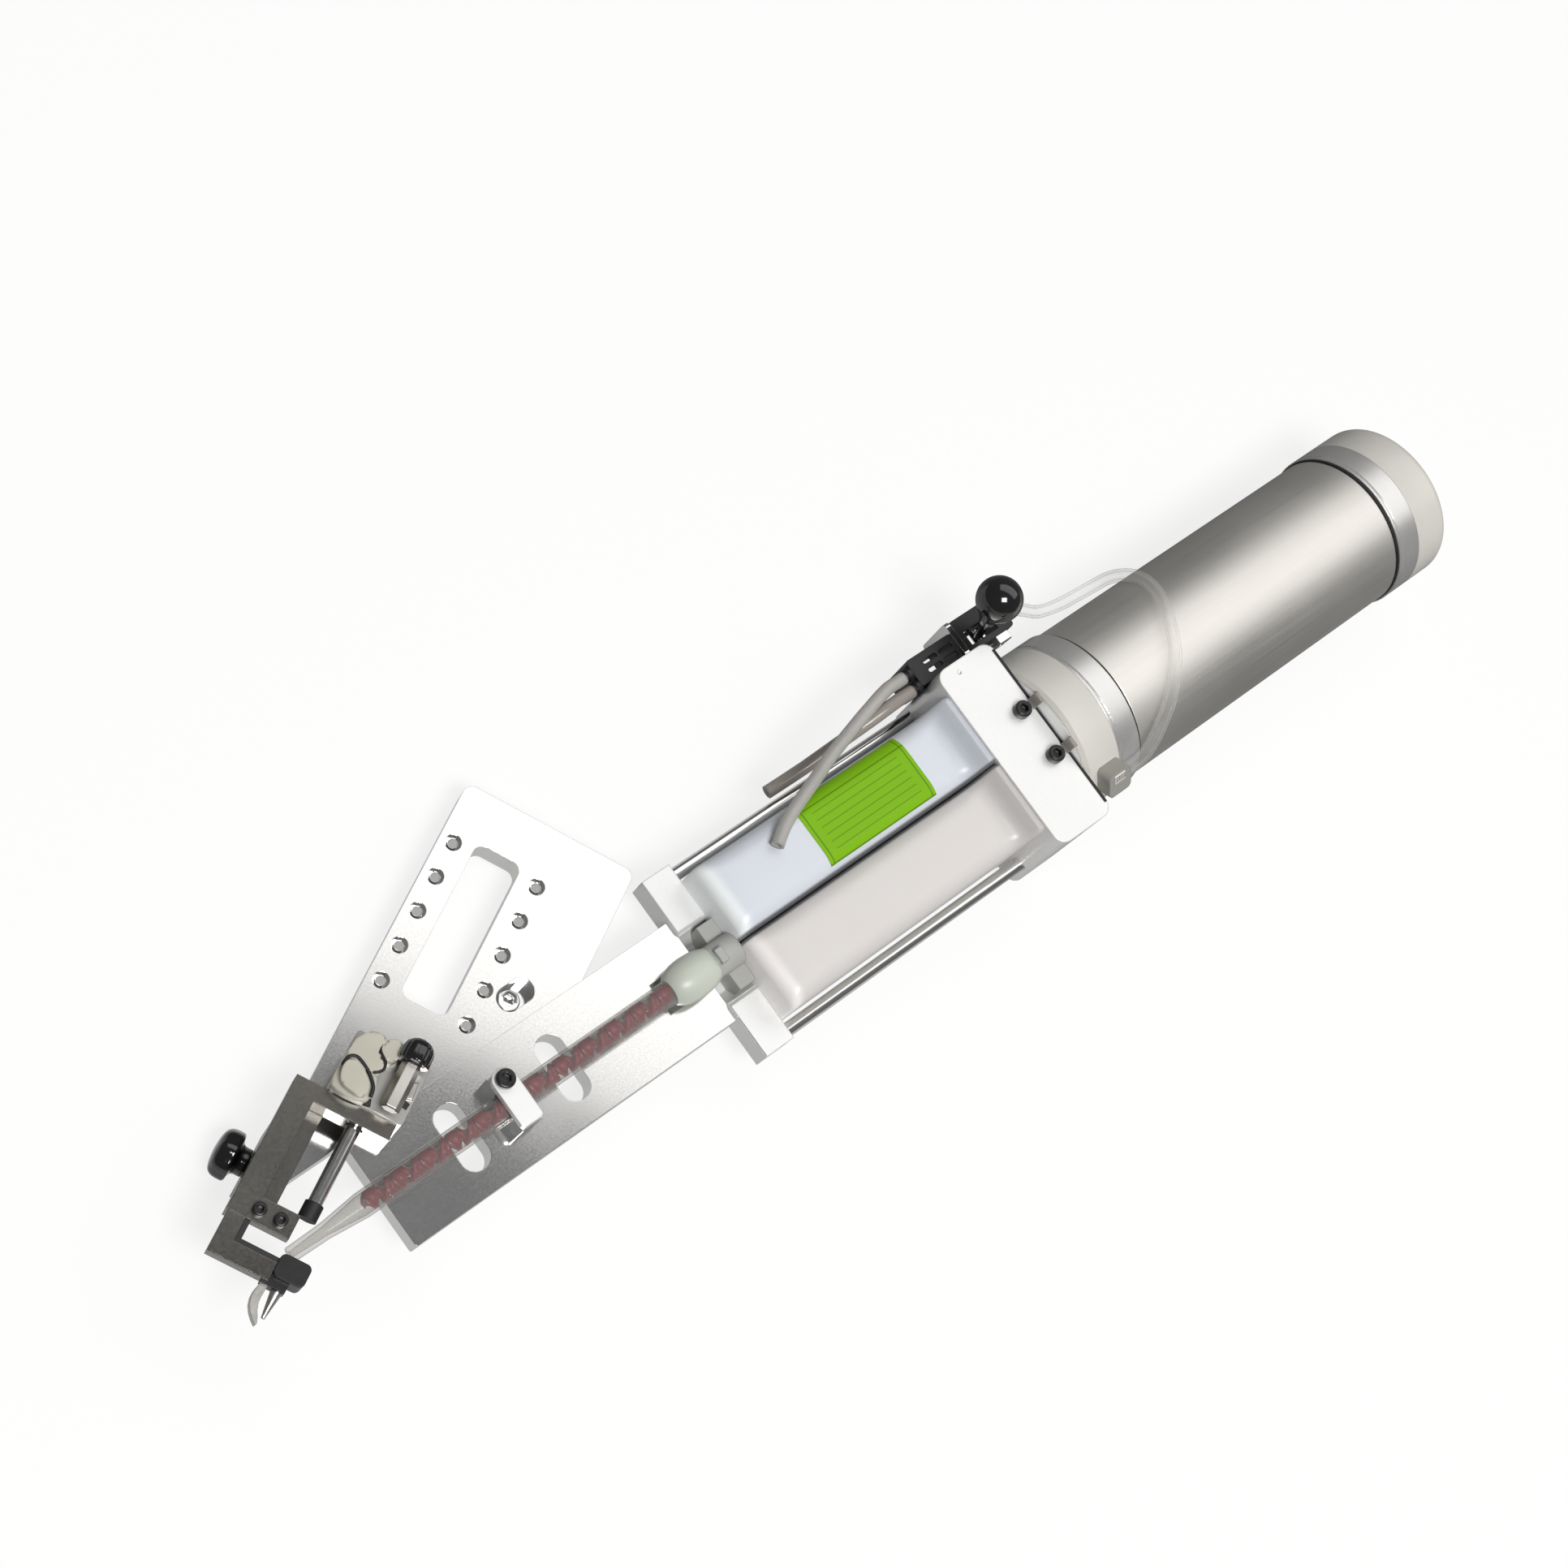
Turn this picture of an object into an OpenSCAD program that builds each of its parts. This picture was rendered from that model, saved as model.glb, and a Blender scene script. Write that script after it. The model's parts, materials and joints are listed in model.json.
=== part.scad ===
// Pneumatic glue dispensing valve: twin cartridge, static mixer and tip shut-off on a plate frame.
// Millimetres. Places are written about the air cylinder's axis: X towards its rear, Z up, x = 0 at the
// front end of the tube. The finished part is set down with the adapter plate's lower face at z = 0.

/* [Air cylinder] */
// Outer radius of the air tube
tube_r = 25; // [20:0.5:32]
// Wall of the air tube
tube_wall = 2.5; // [1.5:0.1:4]
// Length of the air tube between its two gaskets
tube_l = 116; // [100:1:150]
// Outer radius of the collars at both ends
collar_r = 25.8; // [21:0.1:33]
// Travel of the air piston and both plungers
stroke = 78; // [40:1:80]

/* [Cartridge] */
// Half of the width taken by one barrel
barrel_r = 11.9; // [9:0.1:14]
// Bore radius of each barrel
barrel_bore_r = 9.9; // [7:0.1:11]
// Outer radius of the static mixer
mixer_r = 3.6; // [2.5:0.1:5]

/* [Frame] */
// Half width of the rear block
block_hw = 30.6; // [28:0.1:36]
// Half height of the rear block
block_hh = 18.5; // [16:0.5:26]
// Radius of the tie rods
rod_r = 2.1; // [1.5:0.1:3]
// Distance of each tie rod from the centre line
rod_y = 26.8; // [26:0.1:30]
// Half width of the base plate
plate_hw = 16.6; // [12:0.1:22]
// Thickness of the base plate
plate_t = 8.2; // [5:0.1:12]
// Height of the base plate's top face below the main axis
plate_drop = 4.7; // [4:0.1:8]
// Thickness of the adapter plate
adapter_t = 8.4; // [5:0.1:12]
// Angle between the adapter plate and the main axis
adapter_angle = 28.1; // [20:0.1:40]
// Pitch of the adapter plate's bolt holes
hole_pitch = 11.2; // [8:0.1:12]

/* [Shut-off] */
// Radius of the shut-off piston rod
needle_rod_r = 2; // [1.5:0.1:2.5]
// Travel of the shut-off rod
needle_stroke = 8; // [4:0.5:8]
// Radius of the thumb screw's head
knob_r = 7; // [5:0.5:9]

/* [Hand valve] */
// Radius of the lever's ball
ball_r = 7; // [5:0.5:9]
// Radius of the air hoses
hose_r = 2; // [1.5:0.05:2.5]

/* [Hidden] */
$fn = 64;
eps = 0.01;
fit = 0.05;
gasket_t = 0.8;
ring_l = 9;
collar_l = 22;
cap_l = 23;
tube_end = gasket_t / 2 + tube_l;
bore_r = tube_r - tube_wall;
spigot_l = 4;
barrel_y = barrel_r + 0.1;
push_r = 3.5;
disc_r = 9.2;
disc_x = -46.4;
piston_x = spigot_l + 2 + stroke;
block_x0 = -43.2;
block_x1 = -collar_l;
yoke_x0 = -145.6;
yoke_x1 = -135.8;
yoke_hw = 29.7;
yoke_top = -2.9;
saddle_r = 12.3;
saddle_z = 0.5;
saddle_floor = -9;
shoulder_l = 4;
flange_h = 17.6;
flange_l = 2.2;
flare_l = 8;
outlet_r = 1.6;
outlet_y = 2.2;
nut_r = 6.4;
rod_z = -8;
plate_top = -plate_drop;
plate_bottom = plate_top - plate_t;
plate_x0 = -255.8;
slot_x = [-229, -195.2];
slot_w = 8.6;
slot_l = 20.2;
clamp_x = -213.9;
clamp_w = 6.9;
clamp_screw_y = 5.4;
adapter_bottom = plate_bottom - adapter_t;
seat_at = [180, -25, -adapter_bottom];
adapter_u = [-243.5, -108.6];
adapter_v = [96.6, 149.8];
adapter_tab_y = 12;
adapter_edge_y = 16.8;
hole_u0 = -126.5;
hole_v = [119.5, 145.6];
hole_r = 1.45;
frame_z = [plate_top, 4];
frame_u = [-248.8, -214.3, -209.7];
frame_v = [125.2, 147, 154];
frame_foot_u = -242;
axis_v = 134.5;
axis_z = -0.35;
knob_u = -231.3;
knob_z = -17.1;
pad_u = -241.2;
rod_end_u = -203;
outlet_u = [-259.1, -253.6];
bracket_u = [-260.3, -255.1];
bracket_z = -1.3;
foot_z = -0.5;
tip_v = 132.9;
neck_x = -150;
lever_p = [-15.5, 34.5, 4];
lever_tilt = -8;
ball_h = 22.8;
push_collar_yz = [[35.9, 8], [31.4, 7.6]];
free_route = [
  [-46, 35.9, 8], [-49, 35.9, 8], [-52, 35.9, 8], [-56, 35.2, 8.3], [-61, 34, 8.9],
  [-66, 32.8, 9.5], [-72, 31.2, 10.4], [-78, 29.6, 11.5], [-84, 27.8, 12.5], [-89, 26, 13.2],
  [-94, 24.3, 13.8], [-99, 22.6, 14], [-104, 20.8, 14], [-109, 18.4, 14], [-113.4, 15.6, 14]
];
side_route = [
  [-46, 31.4, 7.6], [-49, 31.4, 7.6], [-52, 31.4, 7.6], [-56, 31.3, 6.9], [-60, 31.2, 5.7],
  [-64, 31.2, 4.3], [-68, 31.2, 3], [-72, 31.2, 1.7], [-76, 31.2, 0.4], [-80, 31.2, -0.9],
  [-84, 31.2, -2.2], [-87.5, 31.3, -3.2], [-91, 31.4, -4.1], [-94, 31.5, -4.9], [-97, 31.6, -5.4]
];
tube_route = [
  [-9.6, -23.2, 16.4], [-7.4, -23.2, 16.4], [-5.2, -23.2, 16.4], [-1, -22.6, 17.4], [3, -20.8, 19.6],
  [7.6, -17.8, 22.2],
  [13, -14, 24.2], [18, -8.6, 26.2], [22, -3.6, 27.4], [25, 1.6, 27.6], [28, 6.8, 26.8],
  [31, 12, 24.8], [33, 16.6, 22], [34, 20.8, 18.4], [34, 24.6, 13], [33, 27.2, 6.6], [31, 28.4, 0.6],
  [27, 29.2, -3.4], [20, 30, -4.8], [12, 31.6, -3.8], [6, 34.2, -0.4], [1, 36, 2], [-2.4, 36, 2],
  [-5.8, 36, 2]
];

// Cylinder of radius r from x0 to x1 along X
module xcyl(r, x0, x1) {
  translate([x0, 0, 0]) rotate([0, 90, 0]) cylinder(h = x1 - x0, r = r);
}

// Box between two opposite corners
module box(a, b) {
  translate(a) cube(b - a);
}

// Rectangle with round corners, exact arcs
module rrect(a, b, r) {
  translate([a.x + r, a.y]) square([b.x - a.x - 2 * r, b.y - a.y]);
  translate([a.x, a.y + r]) square([b.x - a.x, b.y - a.y - 2 * r]);
  for (x = [a.x + r, b.x - r], y = [a.y + r, b.y - r]) translate([x, y]) circle(r);
}

// Plate with round vertical corners
module rplate(a, b, r, z0, z1) {
  translate([0, 0, z0]) linear_extrude(z1 - z0) rrect(a, b, r);
}

// Children drawn in the adapter plate's own turned frame
module turned() {
  rotate([0, 0, adapter_angle]) children();
}

// Round solid along the adapter frame's u axis, on the shut-off axis
module ucyl(r, u0, u1, v = axis_v, z = axis_z) {
  translate([u0, v, z]) rotate([0, 90, 0]) cylinder(h = u1 - u0, r = r);
}

function to_uv(x, y) = [
  x * cos(adapter_angle) + y * sin(adapter_angle),
  y * cos(adapter_angle) - x * sin(adapter_angle)
];
function unit(v) = v / norm(v);
function bend(a, b, c, d, t) = 0.5 * (
  2 * b + (c - a) * t + (2 * a - 5 * b + 4 * c - d) * t * t + (3 * b - a - 3 * c + d) * t * t * t
);
function smooth(p, n) = [
  for (i = [0 : len(p) - 2], k = [0 : n - 1])
    bend(p[max(i - 1, 0)], p[i], p[i + 1], p[min(i + 2, len(p) - 1)], k / n),
  p[len(p) - 1]
];
function tangent(p, i) = unit(p[min(i + 1, len(p) - 1)] - p[max(i - 1, 0)]);
function carry(p, i, v) = i >= len(p) ? [] :
  let (t = tangent(p, i), w = unit(v - t * (v * t))) concat([w], carry(p, i + 1, w));

// Round tube body swept along a list of points
module sweep(route, r, sides = 8) {
  path = smooth(route, 3);
  frames = carry(path, 0, [0, 0, 1]);
  points = [
    for (i = [0 : len(path) - 1], k = [0 : sides - 1])
      let (t = tangent(path, i), a = frames[i], b = cross(t, a), w = 360 * k / sides)
      path[i] + r * (cos(w) * a + sin(w) * b)
  ];
  last = len(path) - 1;
  walls = [
    for (i = [0 : last - 1], k = [0 : sides - 1])
      let (n = (k + 1) % sides)
      [i * sides + k, (i + 1) * sides + k, (i + 1) * sides + n, i * sides + n]
  ];
  polyhedron(points, concat([[for (k = [0 : sides - 1]) k]],
    walls, [[for (k = [sides - 1 : -1 : 0]) last * sides + k]]));
}

// Moves a finished node from the cylinder's axis to the mounting face
module seat() {
  translate(seat_at) children();
}

// Drawn aluminium tube, its edges broken
module air_tube() {
  seat() color("silver") translate([gasket_t / 2, 0, 0]) rotate([0, 90, 0]) rotate_extrude()
    polygon([
      [bore_r, 0.4], [bore_r + 0.4, 0], [tube_r - 0.3, 0], [tube_r, 0.3],
      [tube_r, tube_l - 0.3], [tube_r - 0.3, tube_l], [bore_r + 0.4, tube_l], [bore_r, tube_l - 0.4]
    ]);
}

// Pale front collar: flange, spigot into the tube and two rod guides
module front_collar() {
  seat() color("gainsboro") difference() {
    union() {
      translate([-collar_l, 0, 0]) rotate([0, 90, 0]) rotate_extrude()
        polygon([
          [0, 0], [collar_r - 1.2, 0], [collar_r, 1.2], [collar_r, collar_l - ring_l],
          [0, collar_l - ring_l]
        ]);
      xcyl(bore_r - 0.03, -ring_l - eps, spigot_l);
    }
    for (s = [-1, 1]) translate([0, s * barrel_y, 0]) xcyl(push_r + fit, -collar_l - 1, spigot_l + 1);
  }
}

// Aluminium ring between collar and tube, with a shallow trim groove
module end_ring(x0, x1) {
  difference() {
    xcyl(collar_r, x0, x1);
    xcyl(bore_r, x0 - 1, x1 + 1);
    translate([x0 + 0.9, 0, 0]) rotate([0, 90, 0]) rotate_extrude()
      translate([collar_r - 0.25, 0]) square([1, 0.5]);
  }
}

module front_ring() {
  seat() color("silver") end_ring(-ring_l, -gasket_t / 2);
}

module rear_ring() {
  seat() color("silver") end_ring(tube_end + gasket_t, tube_end + gasket_t + ring_l);
}

// Pale rear cap with a rounded back edge and a spigot into the tube
module rear_cap() {
  x0 = tube_end + gasket_t + ring_l;
  x1 = tube_end + gasket_t + cap_l;
  edge = 3;
  seat() color("gainsboro") difference() {
    translate([x0, 0, 0]) rotate([0, 90, 0]) rotate_extrude() {
      square([collar_r, x1 - x0 - edge]);
      square([collar_r - edge, x1 - x0]);
      translate([collar_r - edge, x1 - x0 - edge]) intersection() {
        circle(edge);
        square(edge);
      }
      translate([0, -ring_l - gasket_t - spigot_l])
        square([bore_r - 0.03, ring_l + gasket_t + spigot_l + eps]);
    }
    xcyl(4.2, x1 - 8, x1 + 1);
  }
}

// Black gasket line at each end of the tube
module tube_gaskets() {
  seat() color("black") for (x = [-gasket_t / 2, tube_end]) difference() {
    xcyl(tube_r + 0.3, x, x + gasket_t);
    xcyl(bore_r, x - 1, x + gasket_t + 1);
  }
}

// Air piston with two seal grooves
module air_piston() {
  seat() color("dimgray") translate([piston_x, 0, 0]) rotate([0, 90, 0]) rotate_extrude()
    polygon([
      [0, 0], [bore_r - fit, 0], [bore_r - fit, 2], [bore_r - 1, 2], [bore_r - 1, 4], [bore_r - fit, 4],
      [bore_r - fit, 6], [bore_r - 1, 6], [bore_r - 1, 8], [bore_r - fit, 8], [bore_r - fit, 10], [0, 10]
    ]);
}

module push_rod(s) {
  seat() color("silver") translate([0, s * barrel_y, 0]) xcyl(push_r, disc_x + 3, piston_x);
}

module push_rod_left() {
  push_rod(1);
}

module push_rod_right() {
  push_rod(-1);
}

// Push disc with a raised rim that presses on the plunger
module push_disc(s) {
  seat() color("black") translate([disc_x, s * barrel_y, 0]) rotate([0, 90, 0]) rotate_extrude()
    polygon([[0, 0.6], [disc_r - 1.4, 0.6], [disc_r - 1.2, 0], [disc_r, 0], [disc_r, 3], [0, 3]]);
}

module push_disc_left() {
  push_disc(1);
}

module push_disc_right() {
  push_disc(-1);
}

// Plunger: two sealing lips and a hollow back
module plunger(s) {
  r = barrel_bore_r - fit;
  seat() color("white") translate([disc_x - 7.4, s * barrel_y, 0]) rotate([0, 90, 0]) rotate_extrude()
    polygon([
      [0, 0], [r - 1.2, 0], [r, 1], [r, 2.2], [r - 0.8, 2.6], [r - 0.8, 5], [r, 5.4],
      [r, 7.4], [r - 1.6, 7.4], [r - 1.6, 3.4], [0, 3.4]
    ]);
}

module plunger_left() {
  plunger(1);
}

module plunger_right() {
  plunger(-1);
}

// Rear block: rounded corners, disc parking bores, rod guides, tie rod seats
module rear_block() {
  seat() color("white") difference() {
    rplate([block_x0, -block_hw], [block_x1, block_hw], 3.8, -block_hh, block_hh);
    for (s = [-1, 1]) {
      translate([0, s * barrel_y, 0]) {
        xcyl(push_r + fit, block_x0 - 1, block_x1 + 1);
        xcyl(barrel_bore_r, block_x0 - 1, block_x0 + 5);
      }
      translate([0, s * rod_y, rod_z]) xcyl(rod_r + 0.03, block_x0 - 1, block_x0 + 10);
      translate([-27.4, s * 8, block_hh - 8]) cylinder(h = 9, r = 1.5);
    }
    translate([-36, 27.3, block_hh - 0.6]) cylinder(h = 1, r = 0.6);
  }
}

// Socket head screws standing on the rear block's top
module block_screws() {
  seat() color("black") for (s = [-1, 1]) translate([-27.4, s * 8, block_hh]) difference() {
    union() {
      cylinder(h = 2.6, r = 2.6);
      translate([0, 0, 2.6]) cylinder(h = 0.4, r1 = 2.6, r2 = 2.3);
      translate([0, 0, -7]) cylinder(h = 7 + eps, r = 1.5);
    }
    translate([0, 0, 1.4]) cylinder(h = 3, r = 1.3, $fn = 6);
  }
}

module tie_rod(s) {
  seat() color("lightgray") translate([0, s * rod_y, rod_z]) xcyl(rod_r, yoke_x0 + 2.6, block_x0 + 10);
}

module tie_rod_left() {
  tie_rod(1);
}

module tie_rod_right() {
  tie_rod(-1);
}

// Section of the yoke across the main axis: two legs with a round saddle between them
module yoke_section() {
  shoulder = 1.6;
  difference() {
    translate([-yoke_hw, plate_bottom]) square([2 * yoke_hw, yoke_top - plate_bottom]);
    difference() {
      translate([0, saddle_z]) circle(saddle_r);
      translate([-saddle_r, saddle_floor - 10]) square([2 * saddle_r, 10]);
    }
    for (s = [-1, 1]) translate([s * 11.6, yoke_top]) rotate(45) square(shoulder, center = true);
  }
}

// Front yoke that carries the tie rods and the cartridge's nose
module yoke_block() {
  seat() color("white") difference() {
    translate([yoke_x0, 0, 0]) rotate([90, 0, 90]) linear_extrude(yoke_x1 - yoke_x0) yoke_section();
    for (s = [-1, 1]) {
      translate([0, s * rod_y, rod_z]) xcyl(rod_r + 0.03, yoke_x0 + 2.6, yoke_x1 + 1);
      translate([yoke_x0 - 1, s * (yoke_hw + 1.4), yoke_top + 1.4]) rotate([0, 90, 0])
        cylinder(h = 20, r = 2.6, $fn = 4);
    }
    box([yoke_x0 - 1, -yoke_hw - 1, yoke_top - 1.1], [yoke_x0 + 0.9, -plate_hw + 0.4, yoke_top - 0.3]);
  }
}

// Rear flange of a barrel, flared up and down out of the barrel's top and bottom
module barrel_flange(s) {
  w = barrel_r;
  h = flange_h;
  intersection() {
    translate([block_x0 - flare_l, s * barrel_y, 0]) rotate([90, 0, 90])
      linear_extrude(flare_l) rrect([-w, -h], [w, h], 4);
    translate([block_x0, s * barrel_y + w, 0]) rotate([90, 0, 0]) linear_extrude(2 * w) polygon([
      [-flare_l, w - 4], [-flange_l, h], [0, h], [0, -h], [-flange_l, -h], [-flare_l, 4 - w]
    ]);
  }
}

// One cartridge barrel: soft square outside, round bore, sloped front shoulder, outlet and flange
module barrel(s) {
  w = barrel_r;
  difference() {
    union() {
      translate([yoke_x1, s * barrel_y, 0]) rotate([90, 0, 90])
        linear_extrude(block_x0 - yoke_x1) rrect([-w, -w], [w, w], 6.5);
      barrel_flange(s);
    }
    translate([0, s * barrel_y, 0]) xcyl(barrel_bore_r, yoke_x1 + shoulder_l, block_x0 + 1);
    translate([yoke_x1, 0, w]) rotate([0, atan2(shoulder_l - 1, 6), 0])
      box([-20, -3 * w, -3.2], [1.6, 3 * w, 10]);
    translate([0, s * outlet_y, 0]) xcyl(outlet_r, yoke_x1 - 1, yoke_x1 + shoulder_l + 1);
  }
}

module barrel_left() {
  seat() color("lavender") barrel(1);
}

module barrel_right() {
  seat() color("mistyrose") barrel(-1);
}

// Cartridge nose lying in the yoke's saddle, with its twin-bore neck and bayonet lugs
module cartridge_head() {
  nose_l = 5.7;
  seat() color("lightgray") difference() {
    union() {
      translate([yoke_x1 - nose_l, 0, 0]) rotate([90, 0, 90]) linear_extrude(nose_l) intersection() {
        translate([0, saddle_z]) circle(saddle_r - 0.1);
        translate([-10.5, saddle_floor + 0.2]) square([21, 8.4]);
      }
      xcyl(5, neck_x, yoke_x1);
      box([-143.9, -2.2, -6.4], [yoke_x1 - nose_l + eps, 2.2, 6.4]);
    }
    for (s = [-1, 1]) translate([0, s * outlet_y, 0]) xcyl(outlet_r, neck_x - 1, yoke_x1 + 1);
  }
}

// Thin label wrapped on the left barrel's top
module cartridge_label() {
  w = barrel_r;
  t = 0.2;
  seat() color("yellowgreen") translate([-102, barrel_y, 0]) rotate([90, 0, 90]) linear_extrude(40.4)
    difference() {
      rrect([-w - t, -w - t], [w + t, w + t], 6.5 + t);
      rrect([-w, -w], [w, w], 6.5);
      translate([-w - 1, -w - 1]) square([2 * w + 2, 2 * w - 2]);
      translate([-w - 1, 0]) square([3.4, w + 1]);
    }
}

// Bayonet nut: egg-shaped shell round the cartridge's neck and the mixer's foot
module bayonet_nut() {
  seat() color("honeydew") difference() {
    translate([-159.4, 0, 0]) rotate([0, 90, 0]) rotate_extrude() difference() {
      polygon([
        [0, 0], [3.9, 0], [4.7, 0.9], [5.5, 2.3], [6.05, 4], [6.35, 6], [nut_r, 8],
        [6.3, 10.4], [6, 12.8], [5.6, 14.8], [0, 14.8]
      ]);
      translate([0, 9.4]) square([5.05, 6]);
    }
    xcyl(mixer_r + 0.03, -160, neck_x + 0.1);
  }
}

// Clear mixer tube, tapering to the outlet
module mixer_tube() {
  seat() color("white", 0.4) translate([-285, 0, 0]) rotate([0, 90, 0]) rotate_extrude()
    polygon([
      [0.9, 0], [2, 0], [2.2, 0.4], [2.4, 11], [mixer_r - 0.1, 21.6], [mixer_r, 22.4], [mixer_r, 135],
      [mixer_r - 0.75, 135], [mixer_r - 0.75, 22], [1.4, 11]
    ]);
}

// Static mixer insert: quarter-turned blades on a thin spine
module mixer_element() {
  r = mixer_r - 0.85;
  pitch = 4.4;
  seat() color("crimson") intersection() {
    xcyl(r, -262, neck_x);
    union() {
      xcyl(0.7, -261.6, neck_x);
      for (i = [0 : 24]) translate([-259.6 + i * pitch, 0, 0]) rotate([i * 90, 0, 0])
        rotate([0, 38 * (i % 2 == 0 ? 1 : -1), 0]) cube([0.75, 2 * r + 1, 3 * r], center = true);
    }
  }
}

// Base plate with two cross slots under the mixer and a relief under the bayonet nut
module base_plate() {
  seat() color("silver") difference() {
    rplate([plate_x0, -plate_hw], [yoke_x0, plate_hw], 0.6, plate_bottom, plate_top);
    for (x = slot_x) rplate([x - slot_w / 2, -slot_l / 2], [x + slot_w / 2, slot_l / 2], slot_w / 2 - 0.2,
      plate_bottom - 1, plate_top + 1);
    translate([clamp_x, clamp_screw_y, plate_bottom - 1]) cylinder(h = plate_t + 2, r = 1.3);
    xcyl(nut_r + 0.5, -161, yoke_x0 + 1);
  }
}

// Outline of the adapter plate in its own frame
module adapter_outline() {
  tab = to_uv(-250, adapter_tab_y);
  step = to_uv(-254, adapter_edge_y);
  right_u = (adapter_tab_y - adapter_v[0] * cos(adapter_angle)) / sin(adapter_angle);
  tip_v = (adapter_edge_y - adapter_u[0] * sin(adapter_angle)) / cos(adapter_angle);
  r = 3;
  polygon([
    [adapter_u[0], adapter_v[1]], [adapter_u[0], tip_v], step, tab, [right_u, adapter_v[0]],
    [adapter_u[1] - r, adapter_v[0]], [adapter_u[1], adapter_v[0] + r],
    [adapter_u[1], adapter_v[1] - r], [adapter_u[1] - r, adapter_v[1]]
  ]);
  for (v = [adapter_v[0] + r, adapter_v[1] - r]) translate([adapter_u[1] - r, v]) circle(r);
}

// Adapter plate: long window, two rows of countersunk holes, oval adjusting slot
module adapter_plate() {
  seat() color("silver") turned() difference() {
    translate([0, 0, adapter_bottom]) linear_extrude(adapter_t) adapter_outline();
    rplate([-172.6, 125.6], [-123.2, 139.6], 3, adapter_bottom - 1, plate_bottom + 1);
    for (i = [0 : 4], v = hole_v) translate([hole_u0 - i * hole_pitch, v, adapter_bottom - 1]) {
      cylinder(h = adapter_t + 2, r = hole_r);
      translate([0, 0, adapter_t + 1 - 0.9]) cylinder(h = 1, r1 = hole_r + 0.05, r2 = 2.5);
    }
    translate([-157.2, 111.4, 0]) rotate([0, 0, -adapter_angle])
      rplate([-5.7, -3.6], [5.7, 3.6], 3.4, adapter_bottom + 2, plate_bottom + 1);
    translate([-158.6, 112.1, adapter_bottom - 1]) cylinder(h = 4, r = 2.05);
  }
}

// Socket head screw standing on the pocket's floor
module slot_bolt() {
  seat() color("dimgray") turned() translate([-158.6, 112.1, adapter_bottom]) difference() {
    union() {
      cylinder(h = 3, r = 2);
      translate([0, 0, 2]) cylinder(h = 3.4, r = 3.3);
      translate([0, 0, 5.4]) cylinder(h = 0.4, r1 = 3.3, r2 = 2.9);
    }
    translate([0, 0, 3.4]) cylinder(h = 3, r = 1.6, $fn = 6);
  }
}

// Saddle under the mixer: two posts and a round trough
module clamp_base() {
  seat() color("silver") difference() {
    box([clamp_x - 3.2, -8.4, plate_top], [clamp_x + 3.2, 8.4, mixer_r]);
    xcyl(mixer_r + fit, clamp_x - 5, clamp_x + 5);
    box([clamp_x - 5, -mixer_r - fit, 0], [clamp_x + 5, mixer_r + fit, mixer_r + 1]);
    translate([clamp_x, clamp_screw_y, plate_top - 1]) cylinder(h = 12, r = 1.3);
  }
}

// Clamp bar across the mixer, round at the screw and at the far corners
module clamp_bar() {
  z0 = mixer_r + 0.05;
  seat() color("whitesmoke") difference() {
    union() {
      translate([clamp_x, clamp_screw_y, z0]) cylinder(h = 2.6, r = clamp_w / 2);
      rplate([clamp_x - clamp_w / 2, -8], [clamp_x + clamp_w / 2, clamp_screw_y], 1.2, z0, z0 + 2.6);
      box([clamp_x - clamp_w / 2, 0, z0], [clamp_x + clamp_w / 2, clamp_screw_y, z0 + 2.6]);
    }
    translate([clamp_x, clamp_screw_y, z0 - 1]) cylinder(h = 6, r = 1.3 + fit);
  }
}

// Black button head screw that holds the clamp bar
module clamp_screw() {
  z0 = mixer_r + 2.7;
  seat() color("black") translate([clamp_x, clamp_screw_y, 0]) difference() {
    union() {
      translate([0, 0, z0]) cylinder(h = 1.6, r = 2.75);
      translate([0, 0, z0 + 1.6]) cylinder(h = 0.5, r1 = 2.75, r2 = 2.2);
      translate([0, 0, plate_bottom + 1]) cylinder(h = z0 - plate_bottom, r = 1.3);
    }
    translate([0, 0, z0 + 1]) cylinder(h = 2, r = 1, $fn = 6);
  }
}

// C-shaped clamp frame with a skirt over the adapter plate's edge
module clamp_frame() {
  seat() color("dimgray") turned() difference() {
    union() {
      box([frame_u[1], frame_v[0], frame_z[0]], [frame_u[2], frame_v[2], frame_z[1]]);
      box([frame_u[0], frame_v[1], frame_z[0]], [frame_u[2], frame_v[2], frame_z[1]]);
      box([frame_u[0], 136.4, foot_z], [frame_foot_u, frame_v[2], frame_z[1]]);
      box([-240, adapter_v[1], adapter_bottom], [-222, frame_v[2], frame_z[0] + 1]);
    }
    ucyl(needle_rod_r + 0.5, frame_u[1] - 1, frame_u[2] + 1);
    translate([knob_u, adapter_v[1] - 1, knob_z]) rotate([-90, 0, 0]) cylinder(h = 8, r = 2 + fit);
  }
}

// Packing strip between clamp frame and adapter plate
module frame_spacer() {
  seat() color("dimgray") turned()
    box([-245, 142.8, plate_bottom], [-214.3, adapter_v[1], frame_z[0]]);
}

// Small screws on the clamp frame's foot
module frame_screws() {
  seat() color("gray") turned() for (v = [140.4, 146.4]) translate([-245.4, v, frame_z[1]])
    difference() {
      cylinder(h = 1.8, r = 1.9);
      translate([0, 0, 0.9]) cylinder(h = 2, r = 0.9, $fn = 6);
    }
}

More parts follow.
